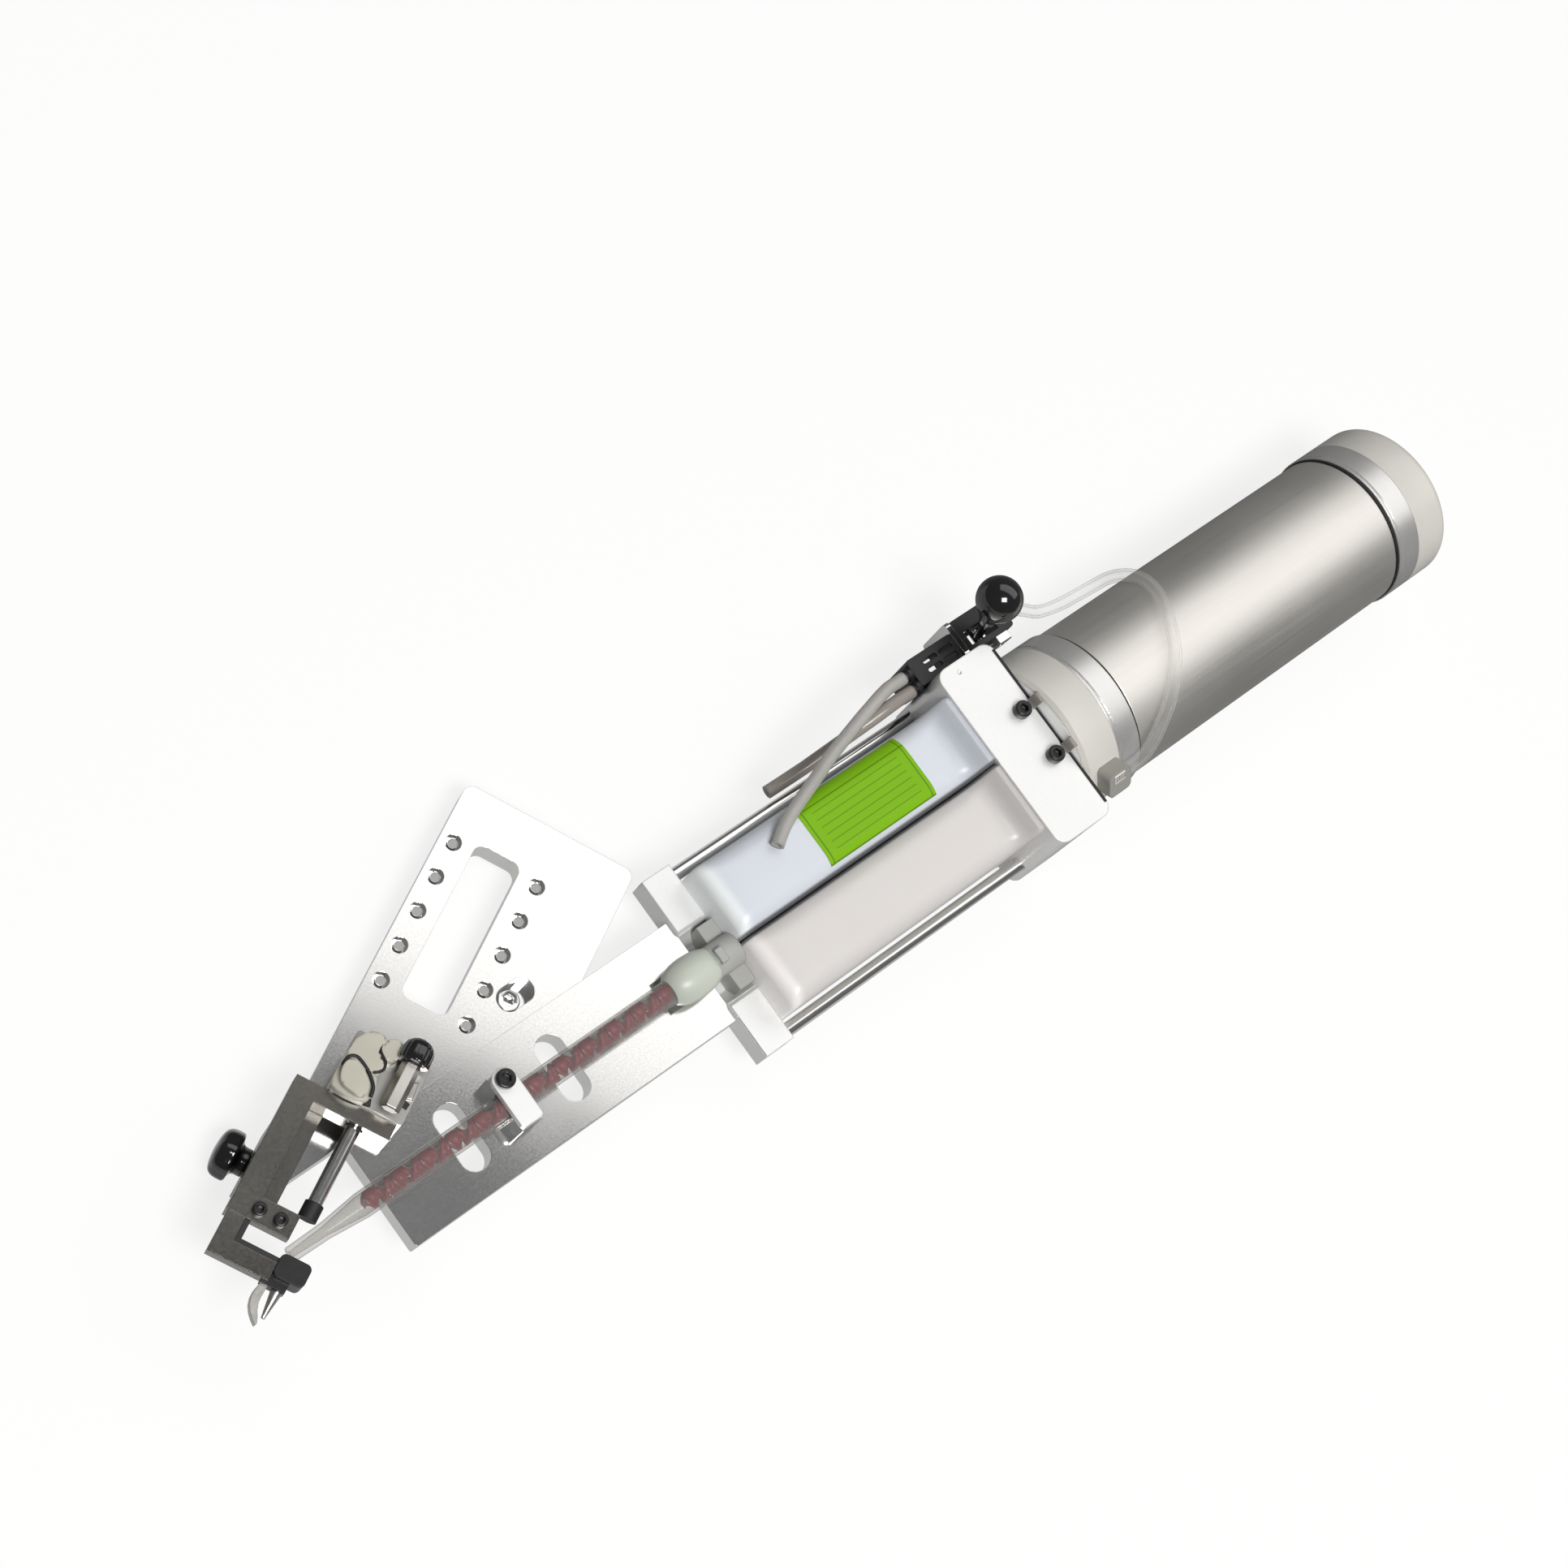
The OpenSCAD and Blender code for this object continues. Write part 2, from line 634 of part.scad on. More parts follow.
// Thumb screw: threaded shank, neck and domed head
module thumb_knob() {
  seat() color("black") turned() translate([knob_u, 0, knob_z]) rotate([-90, 0, 0]) rotate_extrude()
    polygon([
      [0, 150.4], [2, 150.4], [2, 154.3], [3.7, 154.3], [3.7, 156.6], [4.4, 157.4],
      [knob_r - 0.7, 157.6], [knob_r, 158.4], [knob_r, 160], [knob_r - 0.6, 161.6],
      [knob_r - 2, 162.8], [knob_r - 4, 163.4], [0, 163.6]
    ]);
}

// Body of the short-stroke shut-off cylinder
module mini_cylinder() {
  seat() color("gray") turned() difference() {
    rplate([frame_u[2], 124], [-192, 145.4], 0.8, frame_z[0], 5);
    ucyl(needle_rod_r + fit, frame_u[2] - 1, rod_end_u + needle_stroke + 1);
    for (v = [127, 142.4]) translate([-200.8, v, 3]) cylinder(h = 3, r = 1.6);
  }
}

// Shut-off piston rod, bright
module needle_rod() {
  seat() color("white") turned() difference() {
    ucyl(needle_rod_r, pad_u + 3.5, rod_end_u);
    translate([rod_end_u - 0.6, axis_v, axis_z]) rotate([0, 90, 0]) cylinder(h = 2, r = 0.8);
  }
}

// Black pad on the rod's end
module rod_pad() {
  seat() color("black") turned() translate([pad_u, axis_v, axis_z]) rotate([0, 90, 0]) difference() {
    cylinder(h = 4.5, r = needle_rod_r + 0.6);
    translate([0, 0, 3.5]) cylinder(h = 2, r = needle_rod_r);
  }
}

// Bright barrel of the flow control, lying on the cylinder body
module flow_body() {
  seat() color("white") turned() {
    ucyl(2.9, -207.6, -196, 129.2, 9.6);
    translate([-201.5, 129.2, 5]) cylinder(h = 3, r = 2.6);
    ucyl(3.4, -197.4, -195, 129.2, 9.6);
  }
}

// Black domed adjusting knob of the flow control
module flow_knob() {
  seat() color("black") turned() translate([-194.9, 129.2, 9.6]) rotate([0, 90, 0]) rotate_extrude()
    polygon([[0, 0], [4.2, 0], [4.5, 0.4], [4.5, 3.6], [4, 5.2], [2.8, 6.4], [1.4, 7], [0, 7]]);
}

// Cast elbow: round banjo ring, hexagon shoulder and side barrel
module elbow_fitting() {
  seat() color("wheat") turned() difference() {
    union() {
      translate([-199, 141, 5]) cylinder(h = 5.2, r = 4.6);
      translate([-193.6, 139.4, 5]) cylinder(h = 4.4, r = 5, $fn = 6);
      ucyl(2.7, -199, -190.4, 139.8, 8);
    }
    translate([-199, 141, 9.2]) cylinder(h = 2, r = 3.2);
  }
}

// Banjo bolt standing in the elbow's ring
module elbow_bolt() {
  seat() color("lightgray") turned() translate([-199, 141, 9.2]) difference() {
    union() {
      cylinder(h = 1.4, r = 3.15);
      translate([0, 0, 1.4]) cylinder(h = 1.4, r = 2.9, $fn = 6);
    }
    translate([0, 0, 1.8]) cylinder(h = 2, r = 1.1);
  }
}

// Outlet bracket: side arm and cross arm below the clamp frame
module outlet_bracket() {
  seat() color("dimgray") turned() {
    box([bracket_u[0], 148.5, bracket_z], [frame_u[0], 153.4, frame_z[1]]);
    box([bracket_u[0], 136.2, bracket_z], [bracket_u[1], 153.4, frame_z[1]]);
  }
}

// Black liner along the inside of the bracket
module bracket_liner() {
  seat() color("black") turned() {
    box([bracket_u[1], 147, bracket_z], [frame_u[0], 148.5, frame_z[1]]);
    box([bracket_u[1], 136.2, bracket_z], [bracket_u[1] + 1.2, 147.5, frame_z[1]]);
  }
}

// Black outlet block at the bracket's free end, bored for the mixer's tip
module outlet_block() {
  seat() color("black") difference() {
    turned() {
      rplate([outlet_u[0] + 0.6, 127.6], [outlet_u[1] + 1.4, 136.2], 1.6, -4.2, 4.4);
      box([outlet_u[0] - 1.9, 131, -2.8], [outlet_u[0] + 2, 136.2, 2.2]);
      box([outlet_u[0] - 1.9, 131, bracket_z], [bracket_u[0], 138, 2.2]);
    }
    xcyl(2.25, -285.05, -270);
    xcyl(0.9, -296, -280);
  }
}

// Bright outlet cone with its bore
module outlet_tip() {
  seat() color("silver") turned() difference() {
    translate([outlet_u[0] - 1.9, tip_v, axis_z]) rotate([0, -90, 0])
      cylinder(h = 7.4, r1 = 1.6, r2 = 0.5);
    ucyl(0.25, -272, outlet_u[0] + 1, tip_v);
  }
}

// Curved guard blade beside the outlet cone
module tip_blade() {
  seat() color("lightgray") turned() translate([0, 0, -2.2]) linear_extrude(3.6) polygon([
    [-261, 135.6], [-261, 137.7], [-263.2, 138.2], [-265, 138.2], [-266.8, 137.7], [-268.4, 136.7],
    [-269.8, 135.4], [-270.9, 134], [-270.4, 133.7], [-269, 134.2], [-267.4, 135.1], [-265.6, 135.7],
    [-264.2, 135.8]
  ]);
}

// Bright bracket plate of the hand valve
module valve_bracket() {
  seat() color("lightgray") difference() {
    translate([-26, 0, 0]) rotate([90, 0, 90]) linear_extrude(1.8) rrect([block_hw, -7], [42.4, 10.6], 1.5);
    translate([-27, 36.4, 0]) rotate([0, 90, 0]) cylinder(h = 4, r = 1.6);
  }
}

// Black slotted cover, open below
module valve_cover() {
  seat() color("black") difference() {
    rplate([-43.6, block_hw], [-26, 39.4], 1, -6, 10);
    box([-42.4, block_hw + 1.2, -7], [-27.2, 38.2, 8.8]);
    for (x = [-36.2, -30], y = [33.4, 36.4])
      rplate([x - 2.7, y - 0.65], [x + 2.7, y + 0.65], 0.6, 8, 11);
    for (c = push_collar_yz) translate([0, c[0], c[1]]) xcyl(1.2, -44, -42);
  }
}

// Black body of the hand valve with the lever's slot, open below
module valve_body() {
  seat() color("black") difference() {
    rplate([-24.2, 31], [-5.8, 42], 1.2, -5, 9.6);
    box([-22.8, 32.4, -6], [-7.2, 40.6, 8]);
    box([-21.6, 32.8, 7], [-10.9, 37.4, 11]);
  }
  seat() color("black") for (y = [31.2, 36.6]) box([-17.6, y, 1.6], [-13.4, y + 1.2, 6.4]);
}

// Bright nut on the valve body's inner side
module valve_nut() {
  seat() color("lightgray") translate([-11, 28.6, 5.2]) rotate([-90, 0, 0]) difference() {
    cylinder(h = 2.4, r = 4.4, $fn = 6);
    cylinder(h = 1, r = 2);
  }
}

// Lever: cross pin, stem and collar, leaning towards the operator's side
module valve_lever() {
  seat() color("silver") translate(lever_p) {
    rotate([-90, 0, 0]) translate([0, 0, -2]) cylinder(h = 4, r = 1.6);
    rotate([lever_tilt, 0, 0]) {
      cylinder(h = 13.4, r = 1.4);
      translate([0, 0, 10.4]) cylinder(h = 3, r1 = 2.6, r2 = 3.2);
    }
  }
}

// Ball with a tapered neck
module lever_ball() {
  seat() color("black") translate(lever_p) rotate([lever_tilt, 0, 0]) rotate_extrude() {
    translate([0, ball_h]) intersection() {
      circle(ball_r);
      translate([0, -10]) square(20);
    }
    polygon([[0, 13.4], [3.6, 13.4], [5.2, ball_h - 4.7], [0, ball_h - 4.7]]);
  }
}

// Push-in collars for the two air hoses
module push_collars() {
  seat() color("black") for (c = push_collar_yz) translate([0, c[0], c[1]]) difference() {
    union() {
      xcyl(2.5, -45.2, -43.6);
      xcyl(2.1, -46, -45.2);
    }
    xcyl(1.2, -44.8, -43);
  }
}

// Port block saddled on the front collar, with a pale square insert seat on top
module port_fitting() {
  seat() color("lightgray") difference() {
    rotate([55, 0, 0]) difference() {
      translate([0, 0, 24]) rplate([-18.4, -4.2], [-9.6, 4.2], 1.6, 0, 6.8);
      translate([-16.4, 0.2, 30.2]) cube([4.4, 3.4, 1]);
    }
    xcyl(collar_r + 0.02, -30, 0);
  }
}

module free_hose() {
  seat() color("gray") sweep(free_route, hose_r);
}

module side_hose() {
  seat() color("tan") sweep(side_route, hose_r);
}

module tube_hose() {
  seat() color("white", 0.5) sweep(tube_route, hose_r);
}

air_tube();
front_collar();
front_ring();
rear_ring();
rear_cap();
tube_gaskets();
air_piston();
push_rod_left();
push_rod_right();
push_disc_left();
push_disc_right();
plunger_left();
plunger_right();
rear_block();
block_screws();
tie_rod_left();
tie_rod_right();
yoke_block();
barrel_left();
barrel_right();
cartridge_head();
cartridge_label();
bayonet_nut();
mixer_tube();
mixer_element();
base_plate();
adapter_plate();
slot_bolt();
clamp_base();
clamp_bar();
clamp_screw();
clamp_frame();
frame_spacer();
frame_screws();
thumb_knob();
mini_cylinder();
needle_rod();
rod_pad();
flow_body();
flow_knob();
elbow_fitting();
elbow_bolt();
outlet_bracket();
bracket_liner();
outlet_block();
outlet_tip();
tip_blade();
valve_bracket();
valve_cover();
valve_body();
valve_nut();
valve_lever();
lever_ball();
push_collars();
port_fitting();
free_hose();
side_hose();
tube_hose();
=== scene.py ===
import json
import math

import bmesh
import bpy
from mathutils import Matrix, Quaternion, Vector


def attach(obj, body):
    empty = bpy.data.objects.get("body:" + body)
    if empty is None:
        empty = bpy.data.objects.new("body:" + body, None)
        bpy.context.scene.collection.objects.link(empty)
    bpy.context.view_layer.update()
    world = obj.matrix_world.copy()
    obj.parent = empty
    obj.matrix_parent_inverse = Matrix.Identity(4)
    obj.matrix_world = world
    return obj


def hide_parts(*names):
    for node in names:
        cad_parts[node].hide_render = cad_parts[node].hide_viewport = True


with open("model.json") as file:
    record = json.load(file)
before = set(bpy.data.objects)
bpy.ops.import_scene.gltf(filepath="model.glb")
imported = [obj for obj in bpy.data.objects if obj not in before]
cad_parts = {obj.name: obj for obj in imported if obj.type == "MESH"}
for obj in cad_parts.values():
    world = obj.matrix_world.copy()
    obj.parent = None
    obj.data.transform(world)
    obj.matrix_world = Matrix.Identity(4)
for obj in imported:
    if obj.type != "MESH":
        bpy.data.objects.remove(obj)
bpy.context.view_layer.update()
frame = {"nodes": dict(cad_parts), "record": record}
cadNodes = frame["nodes"]
mm = 0.001
sharpAngle = math.radians(38)
plateAngle = math.radians(28.1)
alongPlate = Vector((math.cos(plateAngle), math.sin(plateAngle), 0))
acrossPlate = Vector((-math.sin(plateAngle), math.cos(plateAngle), 0))
seat = Vector((0.180, -0.025, 0.0213))  # from the air cylinder's axis to the part's own origin
print("frame loaded with", len(cadNodes), "nodes")


# places are written in millimetres about the air cylinder's axis, as in the drawing
def spot(x, y, z):
    return Vector((x, y, z)) * mm + seat


# along and across the turned adapter plate
def platePoint(u, v, z):
    return alongPlate * (u * mm) + acrossPlate * (v * mm) + Vector((0, 0, z * mm)) + seat


# camera, solved from the photograph
cameraSet = {
    "place": (-0.26157, -0.06587, 0.72190),
    "right": (0.7468701, -0.5876041, 0.3112982),
    "down": (-0.4958856, -0.8040596, -0.3280026),
    "lens": 63.354,
}


def makeCamera(values):
    right, down = Vector(values["right"]).normalized(), Vector(values["down"]).normalized()
    back = right.cross(-down)
    turn = Matrix((right, -down, back)).transposed().to_4x4()
    data = bpy.data.cameras.new("camera")
    data.lens, data.sensor_width, data.clip_start, data.clip_end = values["lens"], 36, 0.01, 20
    camera = bpy.data.objects.new("camera", data)
    bpy.context.scene.collection.objects.link(camera)
    camera.matrix_world = Matrix.Translation(values["place"]) @ turn
    bpy.context.scene.camera = camera


makeCamera(cameraSet)
print("camera placed")


# node trees

def plug(tree, entry, value):
    if isinstance(value, Wire):
        tree.links.new(value.socket, entry)
    else:
        entry.default_value = value


class Wire:  # a socket that adds Math nodes when it is used in an expression
    def __init__(self, tree, socket):
        self.tree, self.socket = tree, socket

    def math(self, operation, other=None, flip=False):
        made = self.tree.nodes.new("ShaderNodeMath")
        made.operation = operation
        values = [self] if other is None else [other, self] if flip else [self, other]
        for entry, value in zip(made.inputs, values):
            plug(self.tree, entry, value)
        return Wire(self.tree, made.outputs[0])

    def __add__(self, other):
        return self.math("ADD", other)

    def __sub__(self, other):
        return self.math("SUBTRACT", other)

    def __rsub__(self, other):
        return self.math("SUBTRACT", other, flip=True)

    def __mul__(self, other):
        return self.math("MULTIPLY", other)

    def __truediv__(self, other):
        return self.math("DIVIDE", other)

    def __pow__(self, other):
        return self.math("POWER", other)

    def __neg__(self):
        return self.math("MULTIPLY", -1)

    __radd__, __rmul__ = __add__, __mul__

    def clip(self, low, high):
        return self.math("MAXIMUM", low).math("MINIMUM", high)


class Tree:  # adds nodes to a shader or geometry tree
    def __init__(self, tree):
        self.tree = tree

    def node(self, kind, settings=None, sockets=None, out=0):
        made = self.tree.nodes.new(kind)
        for key, value in (settings or {}).items():
            setattr(made, key, value)
        for key, value in (sockets or {}).items():
            plug(self.tree, made.inputs[key], value)
        return Wire(self.tree, made.outputs[out])


class Look(Tree):  # a Principled material with the parts that several finishes share
    def __init__(self, name):
        self.material = bpy.data.materials.new(name)
        self.material.use_nodes = True
        super().__init__(self.material.node_tree)
        self.tree.nodes.clear()
        self.shader = self.tree.nodes.new("ShaderNodeBsdfPrincipled")
        self.surface = Wire(self.tree, self.shader.outputs[0])
        self.leave = self.tree.nodes.new("ShaderNodeOutputMaterial")
        plug(self.tree, self.leave.inputs[0], self.surface)
        self.place = self.node("ShaderNodeTexCoord", out="Object")

    def set(self, values):
        for key, value in values.items():
            plug(self.tree, self.shader.inputs[key], value)

    def noise(self, scale, detail, stretch=(1, 1, 1)):
        drawn = self.node("ShaderNodeMapping", {}, {"Vector": self.place, "Scale": stretch})
        return self.node("ShaderNodeTexNoise", {}, {"Vector": drawn, "Scale": scale, "Detail": detail})

    def axes(self):
        return [self.node("ShaderNodeSeparateXYZ", {}, {0: self.place}, out=k) for k in range(3)]

    def blend(self, share, first, second):  # two shaders, mixed on the way out
        both = self.node("ShaderNodeMixShader", {}, {0: share, 1: first, 2: second})
        plug(self.tree, self.leave.inputs[0], both)

    def mix(self, factor, first, second):
        return self.node("ShaderNodeMix", {"data_type": "RGBA"}, {0: factor, 6: first, 7: second}, out=2)

    def soft(self, value, low, high):
        return self.node("ShaderNodeMapRange", {"interpolation_type": "SMOOTHSTEP"},
                         {"Value": value, "From Min": low, "From Max": high})

    def rounded(self, radius):
        return self.node("ShaderNodeBevel", {"samples": 4}, {"Radius": radius})

    def bump(self, height, distance, normal, strength=1.0):
        return self.node("ShaderNodeBump", {}, {"Strength": strength, "Distance": distance, "Height": height,
                                               "Normal": normal})

    def edge(self, normal):
        flat = self.node("ShaderNodeNewGeometry", out="Normal")
        same = self.node("ShaderNodeVectorMath", {"operation": "DOT_PRODUCT"}, {0: normal, 1: flat},
                         out="Value")
        return self.soft(1 - same, 0.02, 0.25)


def shade(color, factor=1.0):
    return tuple(min(channel * factor, 1) for channel in color[:3]) + (1,)


# metal: satin, drawn or blasted; grain runs along one axis where stretch is uneven
def metalLook(name, color, rough, metallic=1.0, grain=900, stretch=(1, 1, 1), wear=0.12, depth=0.00002,
              radius=0.0004, cloud=0.06):
    look = Look(name)
    fine = look.noise(grain, 2, stretch)
    broad = look.noise(24, 4)
    corner = look.rounded(radius)
    rim = look.edge(corner)
    tone = look.mix(look.soft(broad, 0.35, 0.7), shade(color, 1 - cloud), shade(color, 1 + cloud))
    tone = look.mix(fine * 0.25, tone, shade(color, 0.8))
    look.set({
        "Base Color": look.mix(rim * wear * 4, tone, shade(color, 1.15)),
        "Roughness": (rough + (fine - 0.5) * 0.12 + (broad - 0.5) * 0.1 - rim * 0.08).clip(0.04, 1),
        "Metallic": metallic,
        "Normal": look.bump(fine, depth, corner, 0.6),
    })
    return look.material


# plastic and rubber: fine moulding grain, soft edges
def plasticLook(name, color, rough, coat=0.0, grain=700, depth=0.00001, radius=0.0004, cloud=0.05, dust=0.0,
                transmission=0.0, subsurface=0.0):
    look = Look(name)
    fine = look.noise(grain, 2)
    broad = look.noise(30, 4)
    corner = look.rounded(radius)
    rim = look.edge(corner)
    tone = look.mix(look.soft(broad, 0.35, 0.7), shade(color, 1 - cloud), shade(color, 1 + cloud))
    if dust:
        tone = look.mix(look.soft(look.noise(260, 5), 0.62, 0.8) * dust, tone, (0.5, 0.49, 0.47, 1))
    look.set({
        "Base Color": look.mix(rim * 0.3, tone, shade(color, 1.3)),
        "Roughness": (rough + (fine - 0.5) * 0.1 + (broad - 0.5) * 0.08).clip(0.03, 1),
        "Coat Weight": coat,
        "Normal": look.bump(fine, depth, corner, 0.5),
    })
    if transmission:
        look.set({"Transmission Weight": transmission, "IOR": 1.45})
    if subsurface:
        look.set({"Subsurface Weight": subsurface, "Subsurface Radius": (0.004, 0.004, 0.004)})
    return look.material


# clear or milky tube: see-through where it faces the eye, denser and glossier at its rims
def clearLook(name, color, rough, core, rim, sharp=1.6):
    look = Look(name)
    fine = look.noise(240, 2)
    look.set({
        "Base Color": look.mix(fine * 0.3, shade(color), shade(color, 0.86)),
        "Roughness": rough,
        "Coat Weight": 0.6,
        "Coat Roughness": 0.06,
        "Normal": look.bump(fine, 0.000002, look.rounded(0.0002), 0.3),
    })
    through = look.node("ShaderNodeBsdfTransparent", {}, {"Color": shade(color, 1.3)})
    facing = look.node("ShaderNodeLayerWeight", {}, {"Blend": 0.5}, out="Facing")
    share = facing ** sharp * (rim - core) + core
    look.blend(share.clip(0, 1), through, look.surface)
    return look.material


# filled barrel: painted light on its front wall, painted soft shade where it meets the rear block, painted
# shade in the valley between the two
barrelShade = {"front": (0.0448, 0.0495), "rear": (0.1262, 0.1345), "middle": -0.025,
               "valleyShade": (0.0007, 0.0016)}


def barrelLook(name, color):
    look = Look(name)
    along, across, up = look.axes()
    # painted shade: dark along the valley between the two barrels
    valleyShade = 1 - look.soft((across - barrelShade["middle"]).math("ABSOLUTE"), *barrelShade["valleyShade"])
    fine, broad = look.noise(500, 2), look.noise(14, 3)
    # painted light: the front wall is made lighter than the rest of the barrel
    front = 1 - look.soft(along, *barrelShade["front"])
    # painted shade: darker towards the rear block
    rear = look.soft(along, *barrelShade["rear"])
    tone = look.mix(look.soft(broad, 0.3, 0.75), shade(color, 0.985), shade(color, 1.015))
    tone = look.mix(front, tone, shade(color, 1.42))
    tone = look.mix(rear * 0.6, tone, shade(color, 0.72))
    look.set({
        "Base Color": look.mix(valleyShade * 0.85, tone, shade(color, 0.12)),
        "Roughness": 0.34 + (fine - 0.5) * 0.08,
        "Coat Weight": 0.05,
        "Normal": look.bump(fine, 0.000001, look.rounded(0.0005), 0.4),
    })
    look.set({"Subsurface Weight": 0.25, "Subsurface Radius": (0.006, 0.006, 0.006)})
    return look.material


# moulded plastic, grey on the cartridge nose, darker and warmer on the port block that sits on the collar, far
# behind the nose
def noseLook(name, color, port, change):
    look = Look(name)
    along, across, up = look.axes()
    fine = look.noise(700, 2)
    tone = look.mix(look.soft(along, *change), shade(color), shade(port))
    look.set({
        "Base Color": look.mix(fine * 0.3, tone, shade(color, 0.8)),
        "Roughness": 0.4 + (fine - 0.5) * 0.12,
        "Normal": look.bump(fine, 0.000008, look.rounded(0.0006), 0.5),
    })
    return look.material


# green film with a ruled border and blank lines
labelRule = {"centre": (0.0982, -0.0138), "border": (0.0186, 0.0082), "width": 0.0006, "soft": 0.0002,
             "rowsPerMetre": 420, "rowEnds": (0.0165, 0.0075), "rowSoft": 0.0005}


def labelLook(name, color, ink):
    look = Look(name)
    away = [(axis - middle).math("ABSOLUTE") for axis, middle in zip(look.axes(), labelRule["centre"])]
    lines = [look.soft(reach, low, low + labelRule["soft"])
             * look.soft(-reach, -low - labelRule["width"], -low - labelRule["width"] + labelRule["soft"])
             for reach, low in zip(away, labelRule["border"])]
    border = lines[0] + lines[1]
    rows = look.soft((look.axes()[1] * labelRule["rowsPerMetre"]).math("FRACT"), 0.86, 0.9)
    for reach, end in zip(away, labelRule["rowEnds"]):
        rows = rows * look.soft(-reach, -end, -end + labelRule["rowSoft"])
    fine = look.noise(500, 2)
    look.set({
        "Base Color": look.mix((border + rows * 0.8).clip(0, 1) * 0.75, shade(color), shade(ink)),
        "Roughness": 0.5 + (fine - 0.5) * 0.2,
        "Specular IOR Level": 0.25,
        "Normal": look.bump(fine, 0.000005, look.rounded(0.0003), 0.5),
    })
    return look.material


finishSet = {
    "tube_alu": (metalLook, {"color": (0.92, 0.895, 0.85), "rough": 0.49, "grain": 900,
                             "stretch": (0.03, 1, 1), "cloud": 0.02, "depth": 0.000006}),
    "ring_alu": (metalLook, {"color": (0.88, 0.87, 0.85), "rough": 0.36, "metallic": 0.8, "grain": 800,
                             "stretch": (4, 0.2, 0.2), "depth": 0.00001}),
    "pale_plastic": (plasticLook, {"color": (0.66, 0.64, 0.59), "rough": 0.36, "coat": 0.2}),
    "black_rubber": (plasticLook, {"color": (0.012, 0.012, 0.012), "rough": 0.55}),
    "dark_alu": (metalLook, {"color": (0.24, 0.23, 0.21), "rough": 0.22, "metallic": 0.95, "grain": 1100,
                             "depth": 0.000006}),
    "polished_steel": (metalLook, {"color": (0.90, 0.90, 0.88), "rough": 0.12, "depth": 0.000001,
                                   "cloud": 0.02, "radius": 0.0002}),
    "black_plastic": (plasticLook, {"color": (0.010, 0.010, 0.011), "rough": 0.35, "dust": 0.05}),
    "white_plastic": (metalLook, {"color": (0.93, 0.93, 0.92), "rough": 0.42, "metallic": 0.5, "grain": 1500,
                                  "cloud": 0.02, "radius": 0.0006}),
    "black_oxide": (metalLook, {"color": (0.03, 0.03, 0.03), "rough": 0.28, "metallic": 0.5, "wear": 0.3}),
    "barrel_blue": (barrelLook, {"color": (0.68, 0.71, 0.76)}),
    "barrel_pink": (barrelLook, {"color": (0.70, 0.67, 0.65)}),
    "nose_grey": (noseLook, {"color": (0.42, 0.42, 0.40), "port": (0.34, 0.325, 0.295),
                             "change": (0.10, 0.12)}),
    "label_green": (labelLook, {"color": (0.20, 0.46, 0.003), "ink": (0.06, 0.16, 0.002)}),
    "nut_plastic": (plasticLook, {"color": (0.55, 0.58, 0.51), "rough": 0.38, "coat": 0.05,
                                  "subsurface": 0.2}),
    "clear_plastic": (clearLook, {"color": (0.655, 0.65, 0.64), "rough": 0.2, "core": 0.1, "rim": 0.75,
                                  "sharp": 2.6}),
    "mixer_red": (plasticLook, {"color": (0.40, 0.045, 0.07), "rough": 0.35, "coat": 0.2}),
    "frame_alu": (metalLook, {"color": (0.91, 0.905, 0.895), "rough": 0.13, "metallic": 0.98, "grain": 1800,
                              "cloud": 0.02, "radius": 0.0003, "depth": 0.000003}),
    "cylinder_alu": (metalLook, {"color": (0.50, 0.49, 0.46), "rough": 0.34, "metallic": 0.85,
                                 "grain": 1300}),
    "black_gloss": (plasticLook, {"color": (0.008, 0.008, 0.009), "rough": 0.10, "coat": 0.8}),
    "cast_beige": (plasticLook, {"color": (0.52, 0.50, 0.42), "rough": 0.34, "coat": 0.3, "radius": 0.0006}),
    "tip_steel": (metalLook, {"color": (0.60, 0.585, 0.55), "rough": 0.34, "grain": 900}),
    "hose_grey": (plasticLook, {"color": (0.62, 0.60, 0.57), "rough": 0.16, "transmission": 0.4, "grain": 300,
                                "depth": 0.000002}),
    "hose_brown": (plasticLook, {"color": (0.42, 0.38, 0.34), "rough": 0.2, "transmission": 0.3,
                                 "grain": 300}),
    "hose_clear": (clearLook, {"color": (0.86, 0.85, 0.82), "rough": 0.12, "core": 0.03, "rim": 0.5,
                               "sharp": 2}),
}

looks = {slot: make(slot, **values) for slot, (make, values) in finishSet.items()}
for part in frame["record"]["subparts"]:
    mesh = cadNodes[part["node"]].data
    mesh.materials.clear()
    mesh.materials.append(looks[part["material_slot"]])
print("materials made:", len(looks))


# pieces

def finishPiece(piece, slot, body, replaced=()):
    piece.data.materials.clear()
    piece.data.materials.append(looks[slot])
    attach(piece, body)
    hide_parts(*replaced)
    return piece


def addMesh(name, build):
    shape = bmesh.new()
    build(shape)
    bmesh.ops.remove_doubles(shape, verts=shape.verts, dist=0.000002)
    bmesh.ops.recalc_face_normals(shape, faces=shape.faces)
    mesh = bpy.data.meshes.new(name)
    shape.to_mesh(mesh)
    shape.free()
    piece = bpy.data.objects.new(name, mesh)
    bpy.context.scene.collection.objects.link(piece)
    mesh.shade_smooth()
    mesh.set_sharp_from_angle(angle=sharpAngle)
    return piece


def axisTurn(direction):
    return Vector(direction).normalized().to_track_quat("Z", "Y").to_matrix().to_4x4()


# points on the smooth curve between the second and the third of four points
def curveSpan(near, steps):
    before, start, end, after = (Vector(point) for point in near)
    span = []
    for step in range(steps):
        t = step / steps
        span.append(0.5 * (2 * start + (end - before) * t
                           + (2 * before - 5 * start + 4 * end - after) * t * t
                           + (3 * start - before - 3 * end + after) * t ** 3))
    return span


